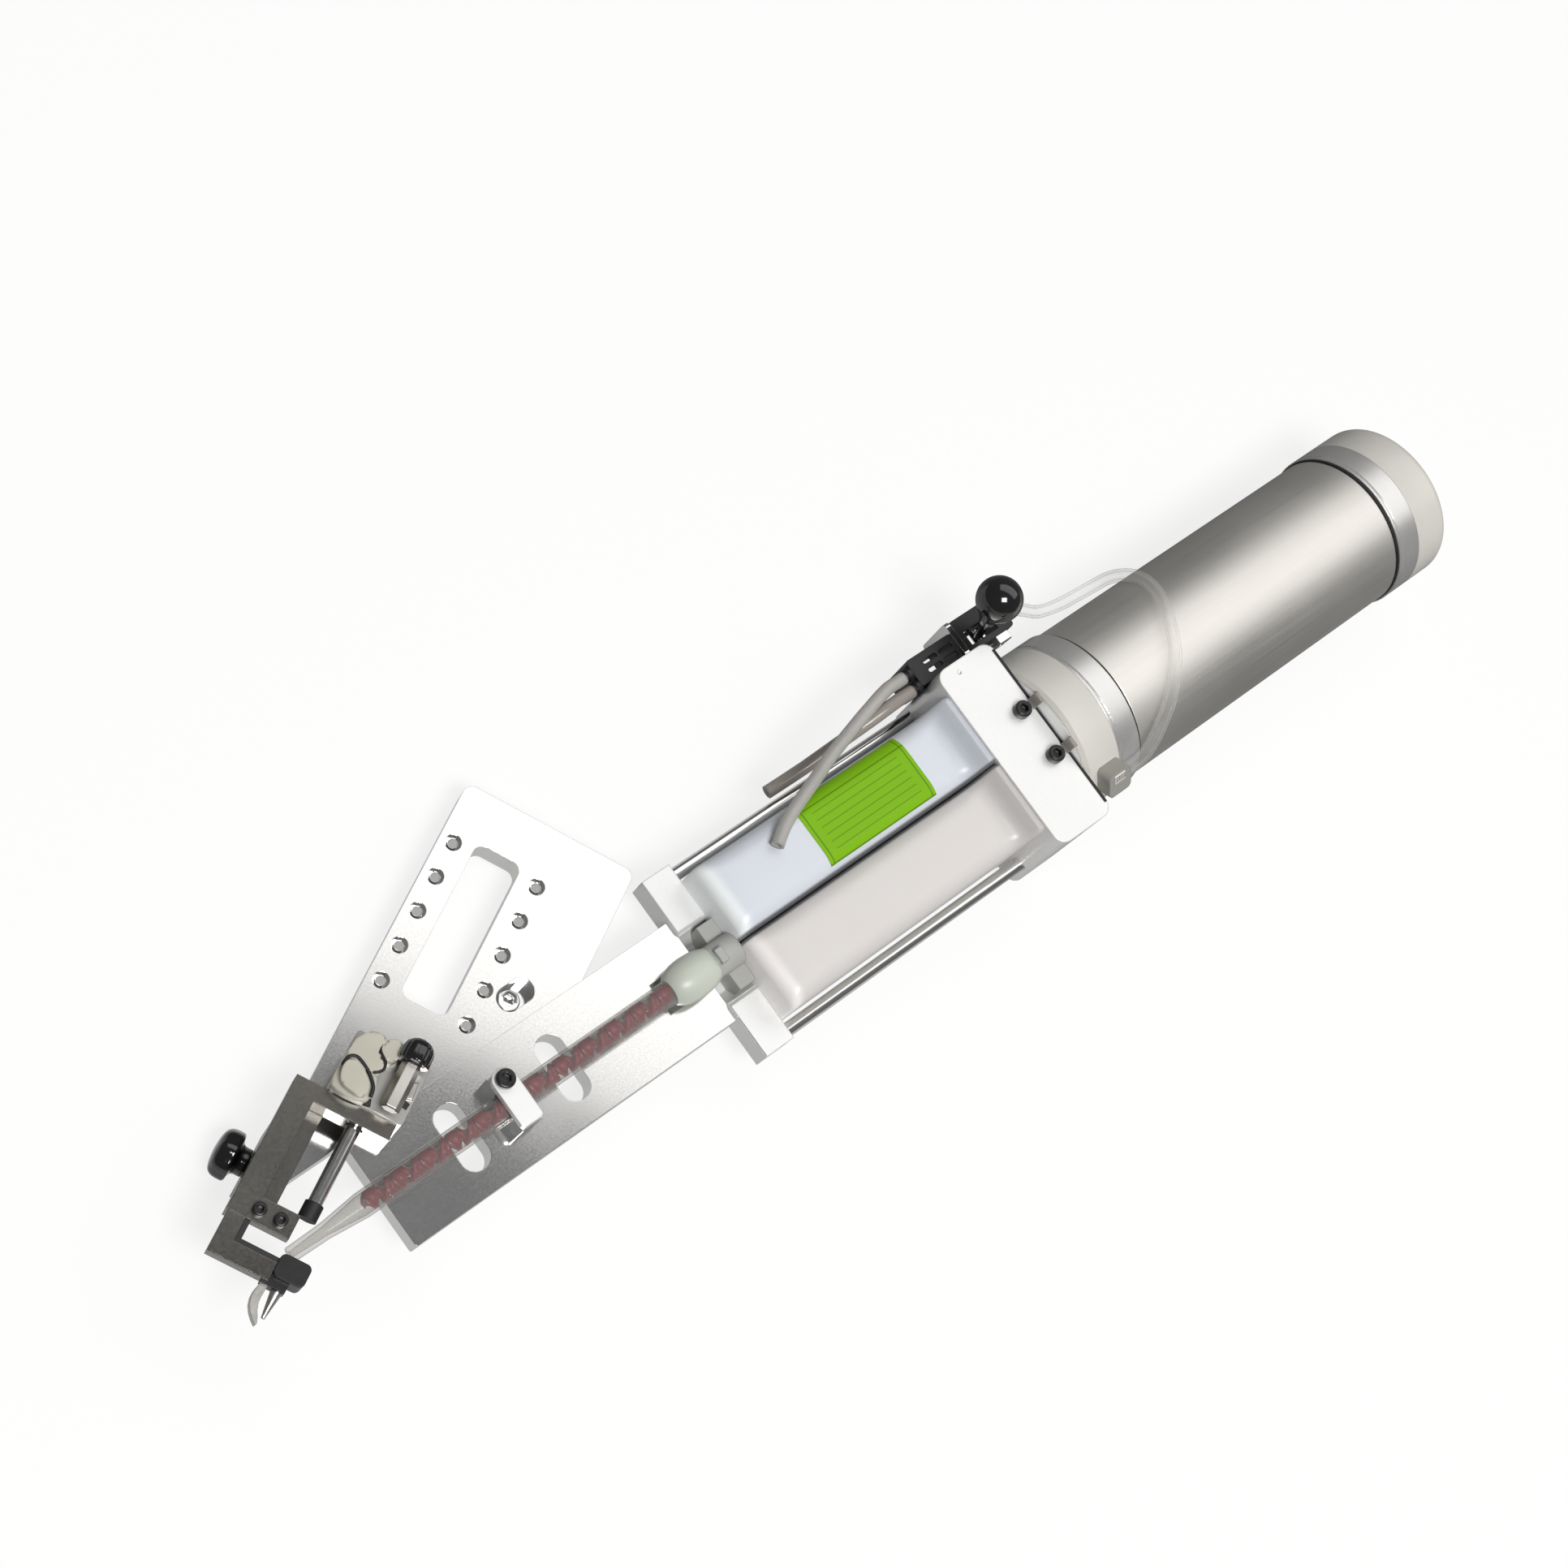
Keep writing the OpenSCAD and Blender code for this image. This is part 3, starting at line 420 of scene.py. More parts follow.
def smoothLine(points, steps):
    last, line = len(points) - 1, []
    for index in range(last):
        line += curveSpan([points[min(max(index + k, 0), last)] for k in (-1, 0, 1, 2)], steps)
    return line + [Vector(points[-1])]


def smoothLoop(points, steps):
    count, loop = len(points), []
    for index in range(count):
        loop += curveSpan([(*points[(index + k) % count], 0) for k in (-1, 0, 1, 2)], steps)
    return [(place.x, place.y) for place in loop]


# faces between rings that have the same number of corners
def addSkin(shape, rings):
    for low, high in zip(rings, rings[1:]):
        count = len(low)
        for k in range(count):
            shape.faces.new((low[k], low[(k + 1) % count], high[(k + 1) % count], high[k]))


# rings of (radius, height, form) in millimetres about an axis; form(angle) shapes a ring
def turnRings(shape, rings, origin, direction, sides=96):
    matrix = Matrix.Translation(origin) @ axisTurn(direction)
    made = []
    for radius, height, *form in rings:
        ring = []
        for k in range(sides):
            angle = 2 * math.pi * k / sides
            reach = radius * mm * (form[0](angle) if form else 1)
            ring.append(shape.verts.new(matrix @ Vector((reach * math.cos(angle), reach * math.sin(angle),
                                                         height * mm))))
        made.append(ring)
    addSkin(shape, made)
    for ring in (made[0], made[-1]):
        centre = shape.verts.new(sum((vert.co for vert in ring), Vector()) / sides)
        for k in range(sides):
            shape.faces.new((ring[k], ring[(k + 1) % sides], centre))


def turnPiece(name, rings, origin, direction, sides=96):
    return addMesh(name, lambda shape: turnRings(shape, rings, origin, direction, sides))


def hexForm(angle):
    return math.cos(math.pi / 6) / math.cos(angle % (math.pi / 3) - math.pi / 6)


def lobeForm(count, depth):
    return lambda angle: 1 + depth * math.cos(count * angle)


def smoothRings(profile, steps):
    line = smoothLine([(radius, height, 0) for radius, height in profile], steps)
    return [(point.x, point.y) for point in line]


# flat block between two heights over an outline, its upper edge rounded
def addSlab(shape, place, outline, low, high, edge=0.0):
    floor = [shape.verts.new(place(a, b, low)) for a, b in outline]
    roof = [shape.verts.new(place(a, b, high)) for a, b in outline]
    shape.faces.new(floor)
    shape.faces.new(roof)
    addSkin(shape, [floor, roof])
    if edge:
        around = dict.fromkeys(line for vert in roof for line in vert.link_edges)
        rim = [line for line in around if set(line.verts) <= set(roof)]
        bmesh.ops.bevel(shape, geom=rim, offset=edge * mm, segments=4, profile=0.5, affect="EDGES")


def addRod(shape, points, radius, sides=12):
    path = [Vector(point) for point in points]
    rings = []
    side = Vector((0, 0, 1))
    for index, point in enumerate(path):
        ahead = (path[min(index + 1, len(path) - 1)] - path[max(index - 1, 0)]).normalized()
        side = (side - ahead * side.dot(ahead)).normalized()
        other = ahead.cross(side)
        rings.append([shape.verts.new(point + radius * mm * (math.cos(2 * math.pi * k / sides) * side
                                                             + math.sin(2 * math.pi * k / sides) * other))
                      for k in range(sides)])
    addSkin(shape, rings)
    shape.faces.new(rings[0])
    shape.faces.new(rings[-1])


class Growth(Tree):  # a geometry tree with named inputs that ends in plain faces of one finish
    def __init__(self, name, inputs):
        super().__init__(bpy.data.node_groups.new(name, "GeometryNodeTree"))
        self.name, self.inputs, self.keys = name, inputs, {}
        for label, (kind, value) in inputs.items():
            made = self.tree.interface.new_socket(label, in_out="INPUT", socket_type="NodeSocket" + kind)
            self.keys[label] = made.identifier
        self.tree.interface.new_socket("Shape", in_out="OUTPUT", socket_type="NodeSocketGeometry")
        self.entry = self.tree.nodes.new("NodeGroupInput")

    def given(self, label):
        return Wire(self.tree, self.entry.outputs[label])

    def grow(self, geometry, slot, host=None):
        solid = self.node("GeometryNodeRealizeInstances", {}, {"Geometry": geometry})
        painted = self.node("GeometryNodeSetMaterial", {}, {"Geometry": solid, "Material": looks[slot]})
        leave = self.tree.nodes.new("NodeGroupOutput")
        self.tree.links.new(painted.socket, leave.inputs[0])
        piece = bpy.data.objects.new(self.name, host or bpy.data.meshes.new(self.name))
        bpy.context.scene.collection.objects.link(piece)
        growing = piece.modifiers.new("grow", "NODES")
        growing.node_group = self.tree
        for label, (kind, value) in self.inputs.items():
            if kind != "Geometry":
                growing[self.keys[label]] = value
        bpy.context.view_layer.update()
        ready = piece.evaluated_get(bpy.context.evaluated_depsgraph_get())
        mesh = bpy.data.meshes.new_from_object(ready)
        piece.modifiers.clear()
        piece.data = mesh
        mesh.shade_smooth()
        mesh.set_sharp_from_angle(angle=sharpAngle)
        return piece


# static mixer: blades that twist left and right in turn, each set across the last
mixerSet = {"count": 25, "pitch": 4.45, "radius": 2.72, "thick": 1.9, "twist": 3.1416, "start": -259.4,
            "overlap": 1.04, "cuts": (11, 7, 3)}


def makeMixer(values):
    inputs = {
        "Count": ("Int", values["count"]),
        "Pitch": ("Float", values["pitch"] * mm),
        "Radius": ("Float", values["radius"] * mm),
        "Thickness": ("Float", values["thick"] * mm),
        "Twist": ("Float", values["twist"]),
        "Place": ("Vector", spot(values["start"], 0, 0)),
    }
    tree = Growth("mixerCore", inputs)
    pitch = tree.given("Pitch")
    step = tree.node("ShaderNodeCombineXYZ", {}, {"X": pitch})
    line = tree.node("GeometryNodeMeshLine", {}, {"Count": tree.given("Count"), "Offset": step})
    size = tree.node("ShaderNodeCombineXYZ", {}, {"X": pitch * values["overlap"],
                                                  "Y": tree.given("Radius") * 2,
                                                  "Z": tree.given("Thickness")})
    cuts = dict(zip(("Vertices X", "Vertices Y", "Vertices Z"), values["cuts"]))
    blade = tree.node("GeometryNodeMeshCube", {}, {"Size": size, **cuts})
    blades = tree.node("GeometryNodeInstanceOnPoints", {}, {"Points": line, "Instance": blade})
    order = tree.node("GeometryNodeInputIndex")
    named = tree.node("GeometryNodeStoreNamedAttribute", {"data_type": "INT", "domain": "INSTANCE"},
                      {"Geometry": blades, "Name": "order", "Value": order})
    loose = tree.node("GeometryNodeRealizeInstances", {}, {"Geometry": named})
    number = tree.node("GeometryNodeInputNamedAttribute", {"data_type": "INT"}, {"Name": "order"})
    position = tree.node("GeometryNodeInputPosition")
    along = tree.node("ShaderNodeSeparateXYZ", {}, {0: position})
    part = along / pitch - number
    hand = 1 - number.math("MODULO", 2) * 2
    angle = number * (math.pi / 2) + hand * part * tree.given("Twist")
    turned = tree.node("ShaderNodeVectorRotate", {"rotation_type": "X_AXIS"},
                       {"Vector": position, "Angle": angle})
    shaped = tree.node("GeometryNodeSetPosition", {}, {"Geometry": loose, "Position": turned})
    placed = tree.node("GeometryNodeTransform", {}, {"Geometry": shaped, "Translation": tree.given("Place")})
    piece = tree.grow(placed, "mixer_red")
    return finishPiece(piece, "mixer_red", "frame", ["mixer_element"])


makeMixer(mixerSet)
print("mixer core grown with", mixerSet["count"], "blades")


# socket head screws: one screw shape set on points, with a width and a height each
screwSet = {
    "flutes": 24,
    "fluteDepth": 0.012,
    "socket": 0.52,
    "depth": 0.55,
    "black": [((-27.4, 8, 18.5), 2.6, 3.0), ((-27.4, -8, 18.5), 2.6, 3.0), ((-213.9, 5.4, 6.3), 2.75, 2.1)],
    "foot": [((-245.4, 140.4, 4), 1.9, 1.8), ((-245.4, 146.4, 4), 1.9, 1.8)],
    "bright": [((-158.6, 112.1, -19.3), 3.3, 3.8)],
}


def makeScrewShape(values):
    flutes = lobeForm(values["flutes"], values["fluteDepth"])
    socket = values["socket"]
    rings = [(0.46, -0.7), (0.5, -0.62), (0.5, 0), (0.93, 0), (0.97, 0.03, flutes), (0.985, 0.08, flutes),
             (0.985, 0.8, flutes), (0.97, 0.88), (0.93, 0.95), (0.86, 1.0), (socket + 0.08, 1.0),
             (socket + 0.03, 0.985, hexForm), (socket, 0.95, hexForm), (socket, 1 - values["depth"], hexForm),
             (0.1, 0.9 - values["depth"])]
    unit = [(radius / mm, height / mm, *form) for radius, height, *form in rings]
    return turnPiece("screwShape", unit, (0, 0, 0), (0, 0, 1), 48)


def makeScrews(name, values, places, slot, replaced):
    host = bpy.data.meshes.new(name)
    host.from_pydata([place for place, width, height in places], [], [])
    sizes = host.attributes.new("size", "FLOAT_VECTOR", "POINT")
    for entry, (place, width, height) in zip(sizes.data, places):
        entry.vector = (width * mm, width * mm, height * mm)
    screw = makeScrewShape(values)
    tree = Growth(name, {"Places": ("Geometry", None), "Screw": ("Object", screw)})
    shape = tree.node("GeometryNodeObjectInfo", {}, {"Object": tree.given("Screw")}, out="Geometry")
    size = tree.node("GeometryNodeInputNamedAttribute", {"data_type": "FLOAT_VECTOR"}, {"Name": "size"})
    screws = tree.node("GeometryNodeInstanceOnPoints", {}, {"Points": tree.given("Places"), "Instance": shape,
                                                            "Scale": size})
    piece = tree.grow(screws, slot, host)
    bpy.data.objects.remove(screw)
    return finishPiece(piece, slot, "frame", replaced)


blackPlaces = [(spot(*place), width, height) for place, width, height in screwSet["black"]]
blackPlaces += [(platePoint(*place), width, height) for place, width, height in screwSet["foot"]]
brightPlaces = [(platePoint(*place), width, height) for place, width, height in screwSet["bright"]]
makeScrews("blackScrews", screwSet, blackPlaces, "black_oxide",
           ["block_screws", "clamp_screw", "frame_screws"])
makeScrews("brightScrews", screwSet, brightPlaces, "polished_steel", ["slot_bolt"])
print("screws set:", len(blackPlaces) + len(brightPlaces))


# cartridge barrels: soft square outside, rounded front shoulder, flared rear flange
barrelSet = {
    "side": 12,
    "steps": 8,
    "stations": [(-135.8, 7.2, 11.5, 3), (-135.6, 8.4, 11.7, 3.4), (-134.9, 10, 11.85, 4),
                 (-133.6, 11.1, 11.9, 4.6), (-131.6, 11.7, 11.9, 5.2), (-128.5, 11.9, 11.9, 6),
                 (-124, 11.9, 11.9, 6.5), (-88, 11.9, 11.9, 6.5), (-56, 11.9, 11.9, 6.5),
                 (-52, 11.9, 11.9, 5.5), (-50, 12.2, 11.9, 4.4), (-48.2, 13.1, 11.9, 3.4),
                 (-46.7, 14.9, 11.9, 2.6), (-45.6, 16.7, 11.9, 2.2), (-44.9, 17.4, 11.9, 2),
                 (-43.25, 17.6, 11.9, 2)],
}


# one cross section; each station holds its place, half height, half width and corner radius
def barrelRing(values, high, half, reach):
    ring, steps = [], values["steps"]
    corners = ((half - reach, high - reach), (reach - half, high - reach), (reach - half, reach - high),
               (half - reach, reach - high))
    for quarter, (y, z) in enumerate(corners):
        for step in range(steps + 1):
            angle = math.pi / 2 * (quarter + step / steps)
            ring.append((y + reach * math.cos(angle), z + reach * math.sin(angle)))
    return ring


def makeBarrel(name, side, slot, node):
    def build(shape):
        rings = []
        for x, high, half, reach in barrelSet["stations"]:
            outline = barrelRing(barrelSet, high, half, reach)
            rings.append([shape.verts.new(spot(x, side * barrelSet["side"] + y, z)) for y, z in outline])
        addSkin(shape, rings)
        shape.faces.new(rings[0])
        shape.faces.new(rings[-1])

    finishPiece(addMesh(name, build), slot, "frame", [node])


makeBarrel("barrelLeft", 1, "barrel_blue", "barrel_left")
makeBarrel("barrelRight", -1, "barrel_pink", "barrel_right")
print("barrels made")


# bayonet nut: milky egg shape between mixer and cartridge
nutSet = {
    "start": -159.4,
    "profile": [(3.66, 0), (3.9, 0.02), (4.7, 0.9), (5.5, 2.3), (6.05, 4), (6.35, 6), (6.4, 8), (6.28, 10.2),
                (6.02, 12), (5.6, 13.5), (5.2, 14.5), (5.04, 14.8)],
}
nut = turnPiece("bayonetNut", smoothRings(nutSet["profile"], 5), spot(nutSet["start"], 0, 0), (1, 0, 0))
finishPiece(nut, "nut_plastic", "frame", ["bayonet_nut"])


# hand valve's ball and the thumb screw
ballSet = {"place": (-15.5, 34.5, 4), "tilt": 8, "radius": 7, "height": 22.8, "from": -42, "step": 4,
           "neck": [(2.9, 13.4), (3.4, 13.5), (3.7, 14), (4.3, 15.6), (4.9, 17.2)]}


def makeBall(values):
    tilt = math.radians(values["tilt"])
    arc = [math.radians(angle) for angle in range(values["from"], 90, values["step"])]
    rings = list(values["neck"])
    rings += [(values["radius"] * math.cos(angle), values["height"] + values["radius"] * math.sin(angle))
              for angle in arc]
    return turnPiece("leverBall", rings, spot(*values["place"]), (0, math.sin(tilt), math.cos(tilt)))


finishPiece(makeBall(ballSet), "black_gloss", "hand_lever", ["lever_ball"])

thumbSet = {
    "u": -231.3,
    "z": -17.1,
    "lobes": 8,
    "lobeDepth": 0.022,
    "lobeFrom": 5.5,
    "profile": [(2, 150.4), (2, 153.9), (3.6, 154.1), (3.9, 154.5), (3.9, 156), (4.3, 156.9), (5.2, 157.3),
                (6.2, 157.5), (6.75, 158), (6.82, 159), (6.8, 160), (6.5, 161.4), (5.6, 162.5), (4, 163.1),
                (2, 163.4), (0.3, 163.5)],
}


def makeThumb(values):
    lobe = lobeForm(values["lobes"], values["lobeDepth"])
    rings = [(r, h, lobe) if r > values["lobeFrom"] else (r, h) for r, h in smoothRings(values["profile"], 3)]
    return turnPiece("thumbKnob", rings, platePoint(values["u"], 0, values["z"]), acrossPlate, 128)


finishPiece(makeThumb(thumbSet), "black_gloss", "thumb_screw", ["thumb_knob"])
print("nut, ball and thumb screw made")


# flow control: faceted bright bar and a fluted black hood
flowSet = {
    "v": 129.2,
    "z": 9.6,
    "bar": [(2.2, -208.6), (2.75, -208.2), (2.75, -195.8), (2.3, -195)],
    "hood": [(3.9, -195), (4.3, -194.8), (4.45, -194.2), (4.45, -191.8), (4.2, -190.4), (3.5, -189.2),
             (2.4, -188.4), (1.2, -188), (0.2, -187.9)],
    "flutes": 20,
    "fluteDepth": 0.012,
    "fluteFrom": 3.8,
    "stand": [(-204.3, 127.4), (-198.6, 127.4), (-198.6, 131), (-204.3, 131)],
    "standLevels": (5, 8, 0.4),
}


def makeFlow(values):
    origin = platePoint(0, values["v"], values["z"])

    def build(shape):
        turnRings(shape, [(r, h, hexForm) for r, h in values["bar"]], origin, alongPlate, 60)
        addSlab(shape, platePoint, values["stand"], *values["standLevels"])

    finishPiece(addMesh("flowBar", build), "tip_steel", "frame", ["flow_body"])
    flutes = lobeForm(values["flutes"], values["fluteDepth"])
    rings = [(r, h, flutes) if r > values["fluteFrom"] else (r, h) for r, h in smoothRings(values["hood"], 4)]
    hood = turnPiece("flowHood", rings, origin, alongPlate, 120)
    finishPiece(hood, "black_gloss", "flow_screw", ["flow_knob"])


makeFlow(flowSet)


# elbow casting with its dial, a dark arc, a dark hook line and small parts on the shut-off cylinder
elbowSet = {
    "body": [(-201.3, 145.2), (-197.8, 145.3), (-195.3, 144.7), (-191.9, 141.9), (-192.2, 137.8),
             (-193.9, 138.3), (-196.1, 138.4), (-197.5, 137.7), (-198.6, 135.3), (-200.6, 135.4),
             (-201.8, 137.2), (-202.4, 139.9), (-202.2, 142.8)],
    "swirl": [(-196, 138.6), (-194.6, 138.3), (-192.2, 137.6), (-190.8, 135.4), (-191.1, 133.6),
              (-193.6, 132.7), (-196.4, 133.4), (-197.6, 135.6)],
    "foot": [(-209.4, 145), (-202.6, 145.3), (-200.4, 143.6), (-201.4, 136.2), (-205.6, 134.8),
             (-209.6, 136)],
    "dial": [(-206.3, 144.5), (-203.3, 144.8), (-201.3, 143.3), (-202.0, 140.6), (-205.1, 136.9),
             (-208.2, 136.2), (-209.3, 137.7), (-209.2, 140.2), (-208.4, 143.1)],
    "seal": [(-203.8, 145.1, 10), (-201.2, 144.6, 10.1), (-200.2, 142.8, 10.1), (-201.2, 140.1, 10.1),
             (-202.9, 137.6, 10), (-205.3, 135.4, 9.8), (-207.9, 134.8, 9.2)],
    "hook": [(-194.6, 138.5, 9.2), (-195.9, 138, 10), (-196.9, 136.9, 10.1), (-197.9, 135.6, 10.1),
             (-199.7, 135.1, 10.1), (-201.1, 135.9, 10.1), (-201.9, 137.2, 10.1)],
    "plate": [(-198.2, 127.2), (-197.5, 125.2), (-202.5, 124.6), (-203.0, 126.5)],
    # notch: a thin black sheet, painted shade where the notch is
    "notch": [(-205.1, 126.8), (-203.1, 126.4), (-203.5, 124.7), (-205.4, 124.9)],
    "wedge": [(-207.8, 135.6), (-207.2, 134.2), (-209.2, 133.6), (-209.6, 135.4)],
    "curved": {"body": 5, "swirl": 5, "foot": 4, "dial": 6},
    "levels": {"body": (5, 10.2, 0.8), "swirl": (5, 9.2, 0.9), "foot": (5, 8.4, 0.5),
               "dial": (8.2, 11.4, 0.7), "plate": (4.9, 6, 0.3), "notch": (4.9, 5.2), "wedge": (4.9, 6.4, 0.3)},
    "lines": {"seal": 0.5, "hook": 0.4},
}


def makeElbow(values):
    def raised(*names):
        def build(shape):
            for name in names:
                steps = values["curved"].get(name)
                outline = smoothLoop(values[name], steps) if steps else values[name]
                addSlab(shape, platePoint, outline, *values["levels"][name])
        return build

    def darkMarks(shape):
        for line, radius in values["lines"].items():
            addRod(shape, [platePoint(*point) for point in smoothLine(values[line], 4)], radius)
        raised("notch", "wedge")(shape)

    finishPiece(addMesh("elbowCasting", raised("body", "swirl", "foot")), "cast_beige", "frame",
                ["elbow_fitting"])
    finishPiece(addMesh("elbowDial", raised("dial")), "cast_beige", "frame", ["elbow_bolt"])
    finishPiece(addMesh("elbowSeals", darkMarks), "black_rubber", "frame")
    finishPiece(addMesh("raisedPlate", raised("plate")), "cylinder_alu", "frame")


makeElbow(elbowSet)
print("shut-off fittings made")


# port insert with its contacts, and a dark strip painted as the shade in the gap behind the rear block
portSet = {"angle": 55, "low": (-16.3, 0.3), "high": (-12.1, 3.5), "levels": (30.2, 31.1, 0.2),
           "padFrom": (0.35, 1.3), "padStep": (1.0, 0.95), "padSize": (0.55, 0.6),
           "padLevels": (31.05, 31.22), "padCount": (4, 2)}


def makePort(values):
    angle = math.radians(values["angle"])

    def place(a, b, c):
        return spot(a, b * math.cos(angle) - c * math.sin(angle), b * math.sin(angle) + c * math.cos(angle))

    def corners(a, b, wide, deep):
        return [(a, b), (a + wide, b), (a + wide, b + deep), (a, b + deep)]

    (a0, b0), (a1, b1) = values["low"], values["high"]

    def insert(shape):
        addSlab(shape, place, corners(a0, b0, a1 - a0, b1 - b0), *values["levels"])

    def pads(shape):
        for row in range(values["padCount"][1]):
            for k in range(values["padCount"][0]):
                a = a0 + values["padFrom"][0] + k * values["padStep"][0]
                b = b0 + values["padFrom"][1] + row * values["padStep"][1]
                addSlab(shape, place, corners(a, b, *values["padSize"]), *values["padLevels"])

    finishPiece(addMesh("portInsert", insert), "white_plastic", "frame")
    finishPiece(addMesh("portPads", pads), "hose_brown", "frame")


makePort(portSet)
gapShadeSet = {"x": (-22.9, -22.02), "halfWidth": 27.4, "z": (17.9, 18.7)}
faceLightSet = {"x": (-22.3, -22.03), "radius": 24.4, "z": 18.75, "steps": 40}
screwShadowSet = {"x": (-23.4, -22.02), "z": (18.3, 24.2), "halfWidth": 1.7, "sides": (8, -8), "edge": 0.4}


# strip across the part, from low to high along it and centred on y
def addStrip(shape, values, y=0, edge=0.0):
    (low, high), half = values["x"], values["halfWidth"]
    outline = [(low, y - half), (high, y - half), (high, y + half), (low, y + half)]
    addSlab(shape, spot, outline, *values["z"], edge)


# painted shade: a black strip stands for the shadowed gap between the rear block and the collar
finishPiece(addMesh("blockSeam", lambda shape: addStrip(shape, gapShadeSet)), "black_rubber", "frame")


# painted light: a thin white plate makes the collar's front face above the block show bright
def makeFaceLight(shape):
    radius, steps = faceLightSet["radius"], faceLightSet["steps"]
    reach = math.acos(faceLightSet["z"] / radius)
    arc = [math.pi / 2 - reach + 2 * reach * k / steps for k in range(steps + 1)]
    outline = [(radius * math.cos(angle), radius * math.sin(angle)) for angle in arc]
    addSlab(shape, lambda y, z, x: spot(x, y, z), outline, *faceLightSet["x"])


finishPiece(addMesh("collarFace", makeFaceLight), "white_plastic", "frame")


# painted shadow: two dark stubs stand for the block screws' shadows on the collar's front face
def makeScrewShadows(shape):
    for y in screwShadowSet["sides"]:
        addStrip(shape, screwShadowSet, y, screwShadowSet["edge"])


finishPiece(addMesh("collarStubs", makeScrewShadows), "hose_brown", "frame")
print("port and seam made")


# hoses

hoseSet = {
    "radius": 0.002,
    "wall": 0.0007,
    "steps": 3,
    "rounds": 5,
    "freeRoute": [
        (-46, 35.9, 8), (-49, 35.9, 8), (-52, 35.9, 8), (-56, 35.2, 8.3), (-61, 34, 8.9),
        (-66, 32.8, 9.5), (-72, 31.2, 10.4), (-78, 29.6, 11.5), (-84, 27.8, 12.5), (-89, 26, 13.2),
        (-94, 24.3, 13.8), (-99, 22.6, 14), (-104, 20.8, 14), (-109, 18.4, 14), (-113.4, 15.6, 14),
    ],
    "sideRoute": [
        (-46, 31.4, 7.6), (-49, 31.4, 7.6), (-52, 31.4, 7.6), (-56, 31.3, 6.9), (-60, 31.2, 5.7),
        (-64, 31.2, 4.3), (-68, 31.2, 3), (-72, 31.2, 1.7), (-76, 31.2, 0.4), (-80, 31.2, -0.9),
        (-84, 31.2, -2.2), (-87.5, 31.3, -3.2), (-91, 31.4, -4.1), (-94, 31.5, -4.9), (-97, 31.6, -5.4),
    ],
    "tubeRoute": [
        (-9.6, -23.2, 16.4), (-7.4, -23.2, 16.4), (-5.2, -23.2, 16.4), (-1, -22.6, 17.4), (3, -20.8, 19.6),
        (7.6, -17.8, 22.2), (13, -14, 24.2), (18, -8.6, 26.2), (22, -3.6, 27.4), (25, 1.6, 27.6),
        (28, 6.8, 26.8),
        (31, 12, 24.8), (33, 16.6, 22), (34, 20.8, 18.4), (34, 24.6, 13), (33, 27.2, 6.6), (31, 28.4, 0.6),
        (27, 29.2, -3.4), (20, 30, -4.8), (12, 31.6, -3.8), (6, 34.2, -0.4), (1, 36, 2), (-2.4, 36, 2),
        (-5.8, 36, 2),
    ],
}


def makeHose(name, route, slot, node):
    points = smoothLine([spot(*point) for point in route], hoseSet["steps"])
    data = bpy.data.curves.new(name, "CURVE")
    data.dimensions, data.bevel_depth, data.bevel_resolution = "3D", hoseSet["radius"], hoseSet["rounds"]
    spline = data.splines.new("POLY")
    spline.points.add(len(points) - 1)
    for entry, point in zip(spline.points, points):
        entry.co = (*point, 1)
    spline.use_smooth = True
    hose = bpy.data.objects.new(name, data)
    bpy.context.scene.collection.objects.link(hose)
    wall = hose.modifiers.new("wall", "SOLIDIFY")
    wall.thickness, wall.offset = hoseSet["wall"], -1
    finishPiece(hose, slot, "frame", [node])
    return hose, sum((b - a).length for a, b in zip(points, points[1:]))


freeHose, freeLength = makeHose("freeHose", hoseSet["freeRoute"], "hose_grey", "free_hose")
sideHose, sideLength = makeHose("sideHose", hoseSet["sideRoute"], "hose_brown", "side_hose")
makeHose("tubeHose", hoseSet["tubeRoute"], "hose_clear", "tube_hose")
print("hoses made, free length", round(freeLength, 4), "side length", round(sideLength, 4))


# floor and light

stageSet = {
    "floor": -0.0049,
    "floorReach": 6,
    "paper": (0.95, 0.95, 0.94, 1),
    "centre": (0.08, -0.02, 0.02),
    "seenWhite": 0.8,
    "bounce": (0.5, 0.5, 0.495, 1),
    "mirrored": 0.5,
    "mirroredFar": 0.1,
    "mirroredShare": 0.9,
    "dimFrom": (0.1, 0.19),
    "worldColor": (0.98, 0.985, 1.0, 1),
    "worldLevel": 0.13,
    "keyRadiance": 1.15,
    "keyAim": (8, 53),
    "keyFar": 2.5,
    "keySize": (4.0, 1.66),
    "keyRoll": 22.8,
    "keyColor": (1, 0.99, 0.97),
    "topAim": (240, 66),
    "topFar": 2.2,
    "topSize": (0.9, 0.7),
    "topPower": 38,
    "topColor": (1, 1, 1),
}


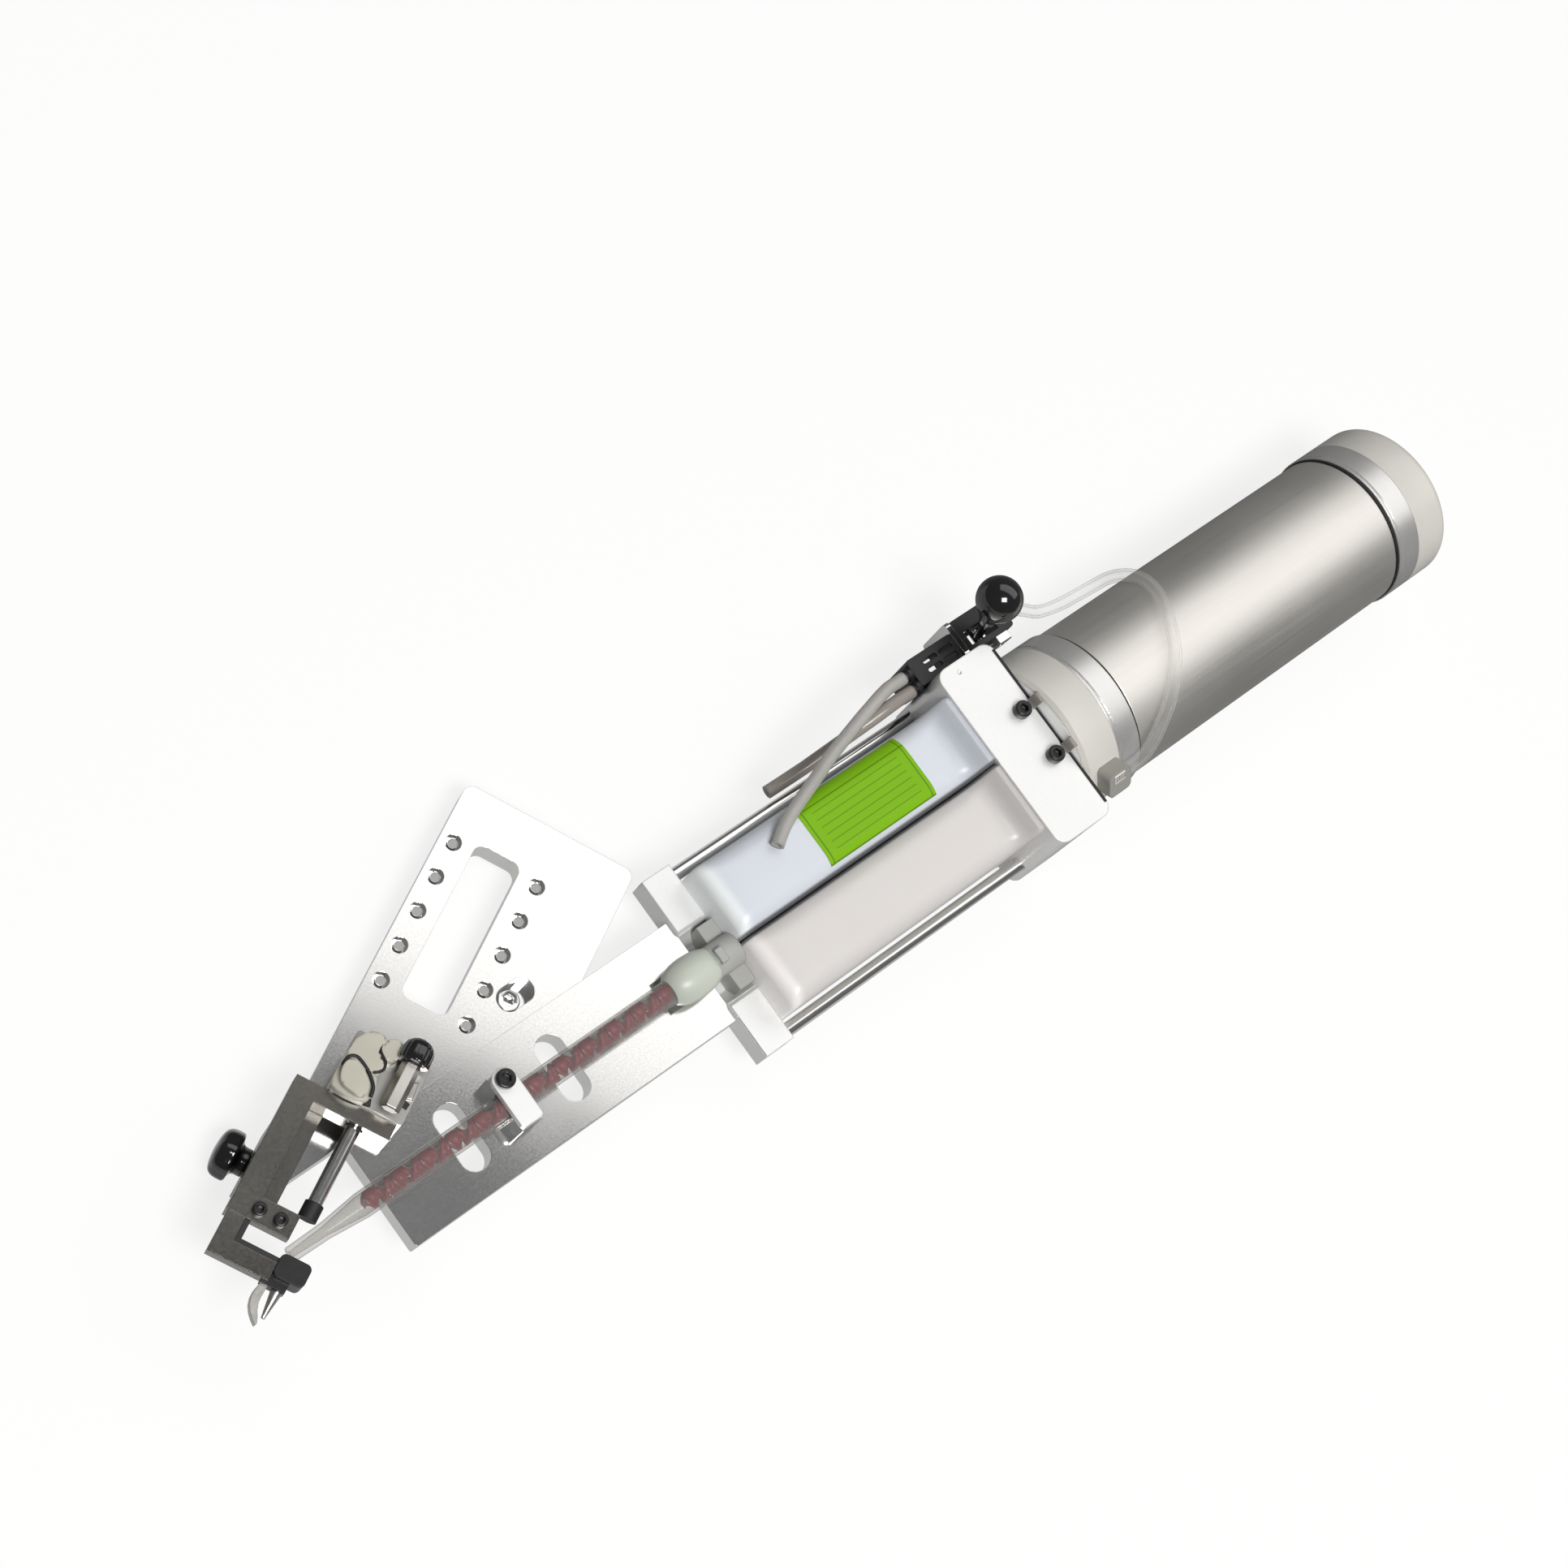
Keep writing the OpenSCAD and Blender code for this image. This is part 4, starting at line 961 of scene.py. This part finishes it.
def makeStage(values):
    look = Look("floorPaper")
    camera, through, glossy = [look.node("ShaderNodeLightPath", out=kind)
                               for kind in ("Is Camera Ray", "Is Transmission Ray", "Is Glossy Ray")]
    seen = camera.math("MAXIMUM", through)
    look.set({"Base Color": look.mix(seen, values["bounce"], values["paper"]), "Roughness": 0.9,
              "Specular IOR Level": 0.0})
    along, across, up = look.axes()
    change = values["mirroredFar"] - values["mirrored"]
    dim = look.soft(along, *values["dimFrom"]) * change + values["mirrored"]
    level = (1 - seen) * dim + seen
    glow = look.node("ShaderNodeEmission", {}, {"Color": (1, 1, 0.995, 1), "Strength": level})
    share = (seen * values["seenWhite"]).math("MAXIMUM", glossy * values["mirroredShare"])
    look.blend(share, look.surface, glow)

    def build(shape):
        reach = values["floorReach"]
        corners = ((-reach, -reach), (reach, -reach), (reach, reach), (-reach, reach))
        shape.faces.new([shape.verts.new((x, y, values["floor"])) for x, y in corners])

    floor = addMesh("floor", build)
    floor.data.materials.append(look.material)

    world = bpy.data.worlds.new("studio")
    world.use_nodes = True
    bpy.context.scene.world = world
    sky = world.node_tree.nodes["Background"]
    sky.inputs[0].default_value, sky.inputs[1].default_value = values["worldColor"], values["worldLevel"]


def addLamp(name, place, size, power, color, roll=0.0):
    data = bpy.data.lights.new(name, "AREA")
    data.shape, data.size, data.size_y, data.energy, data.color = "RECTANGLE", size[0], size[1], power, color
    lamp = bpy.data.objects.new(name, data)
    bpy.context.scene.collection.objects.link(lamp)
    lamp.location = place
    lamp.rotation_mode = "QUATERNION"
    turn = Quaternion((0, 0, 1), math.radians(roll))
    lamp.rotation_quaternion = (Vector(stageSet["centre"]) - place).to_track_quat("-Z", "Y") @ turn


def skyPoint(aim, far):
    azimuth, elevation = (math.radians(angle) for angle in aim)
    flat = far * math.cos(elevation)
    return Vector(stageSet["centre"]) + Vector((flat * math.cos(azimuth), flat * math.sin(azimuth),
                                                far * math.sin(elevation)))


makeStage(stageSet)
keyPower = stageSet["keyRadiance"] * math.pi * stageSet["keySize"][0] * stageSet["keySize"][1]
addLamp("keyLamp", skyPoint(stageSet["keyAim"], stageSet["keyFar"]), stageSet["keySize"], keyPower,
        stageSet["keyColor"], stageSet["keyRoll"])
addLamp("topLamp", skyPoint(stageSet["topAim"], stageSet["topFar"]), stageSet["topSize"],
        stageSet["topPower"], stageSet["topColor"])
bpy.context.scene.view_settings.view_transform = "Standard"
print("stage and lamps set")
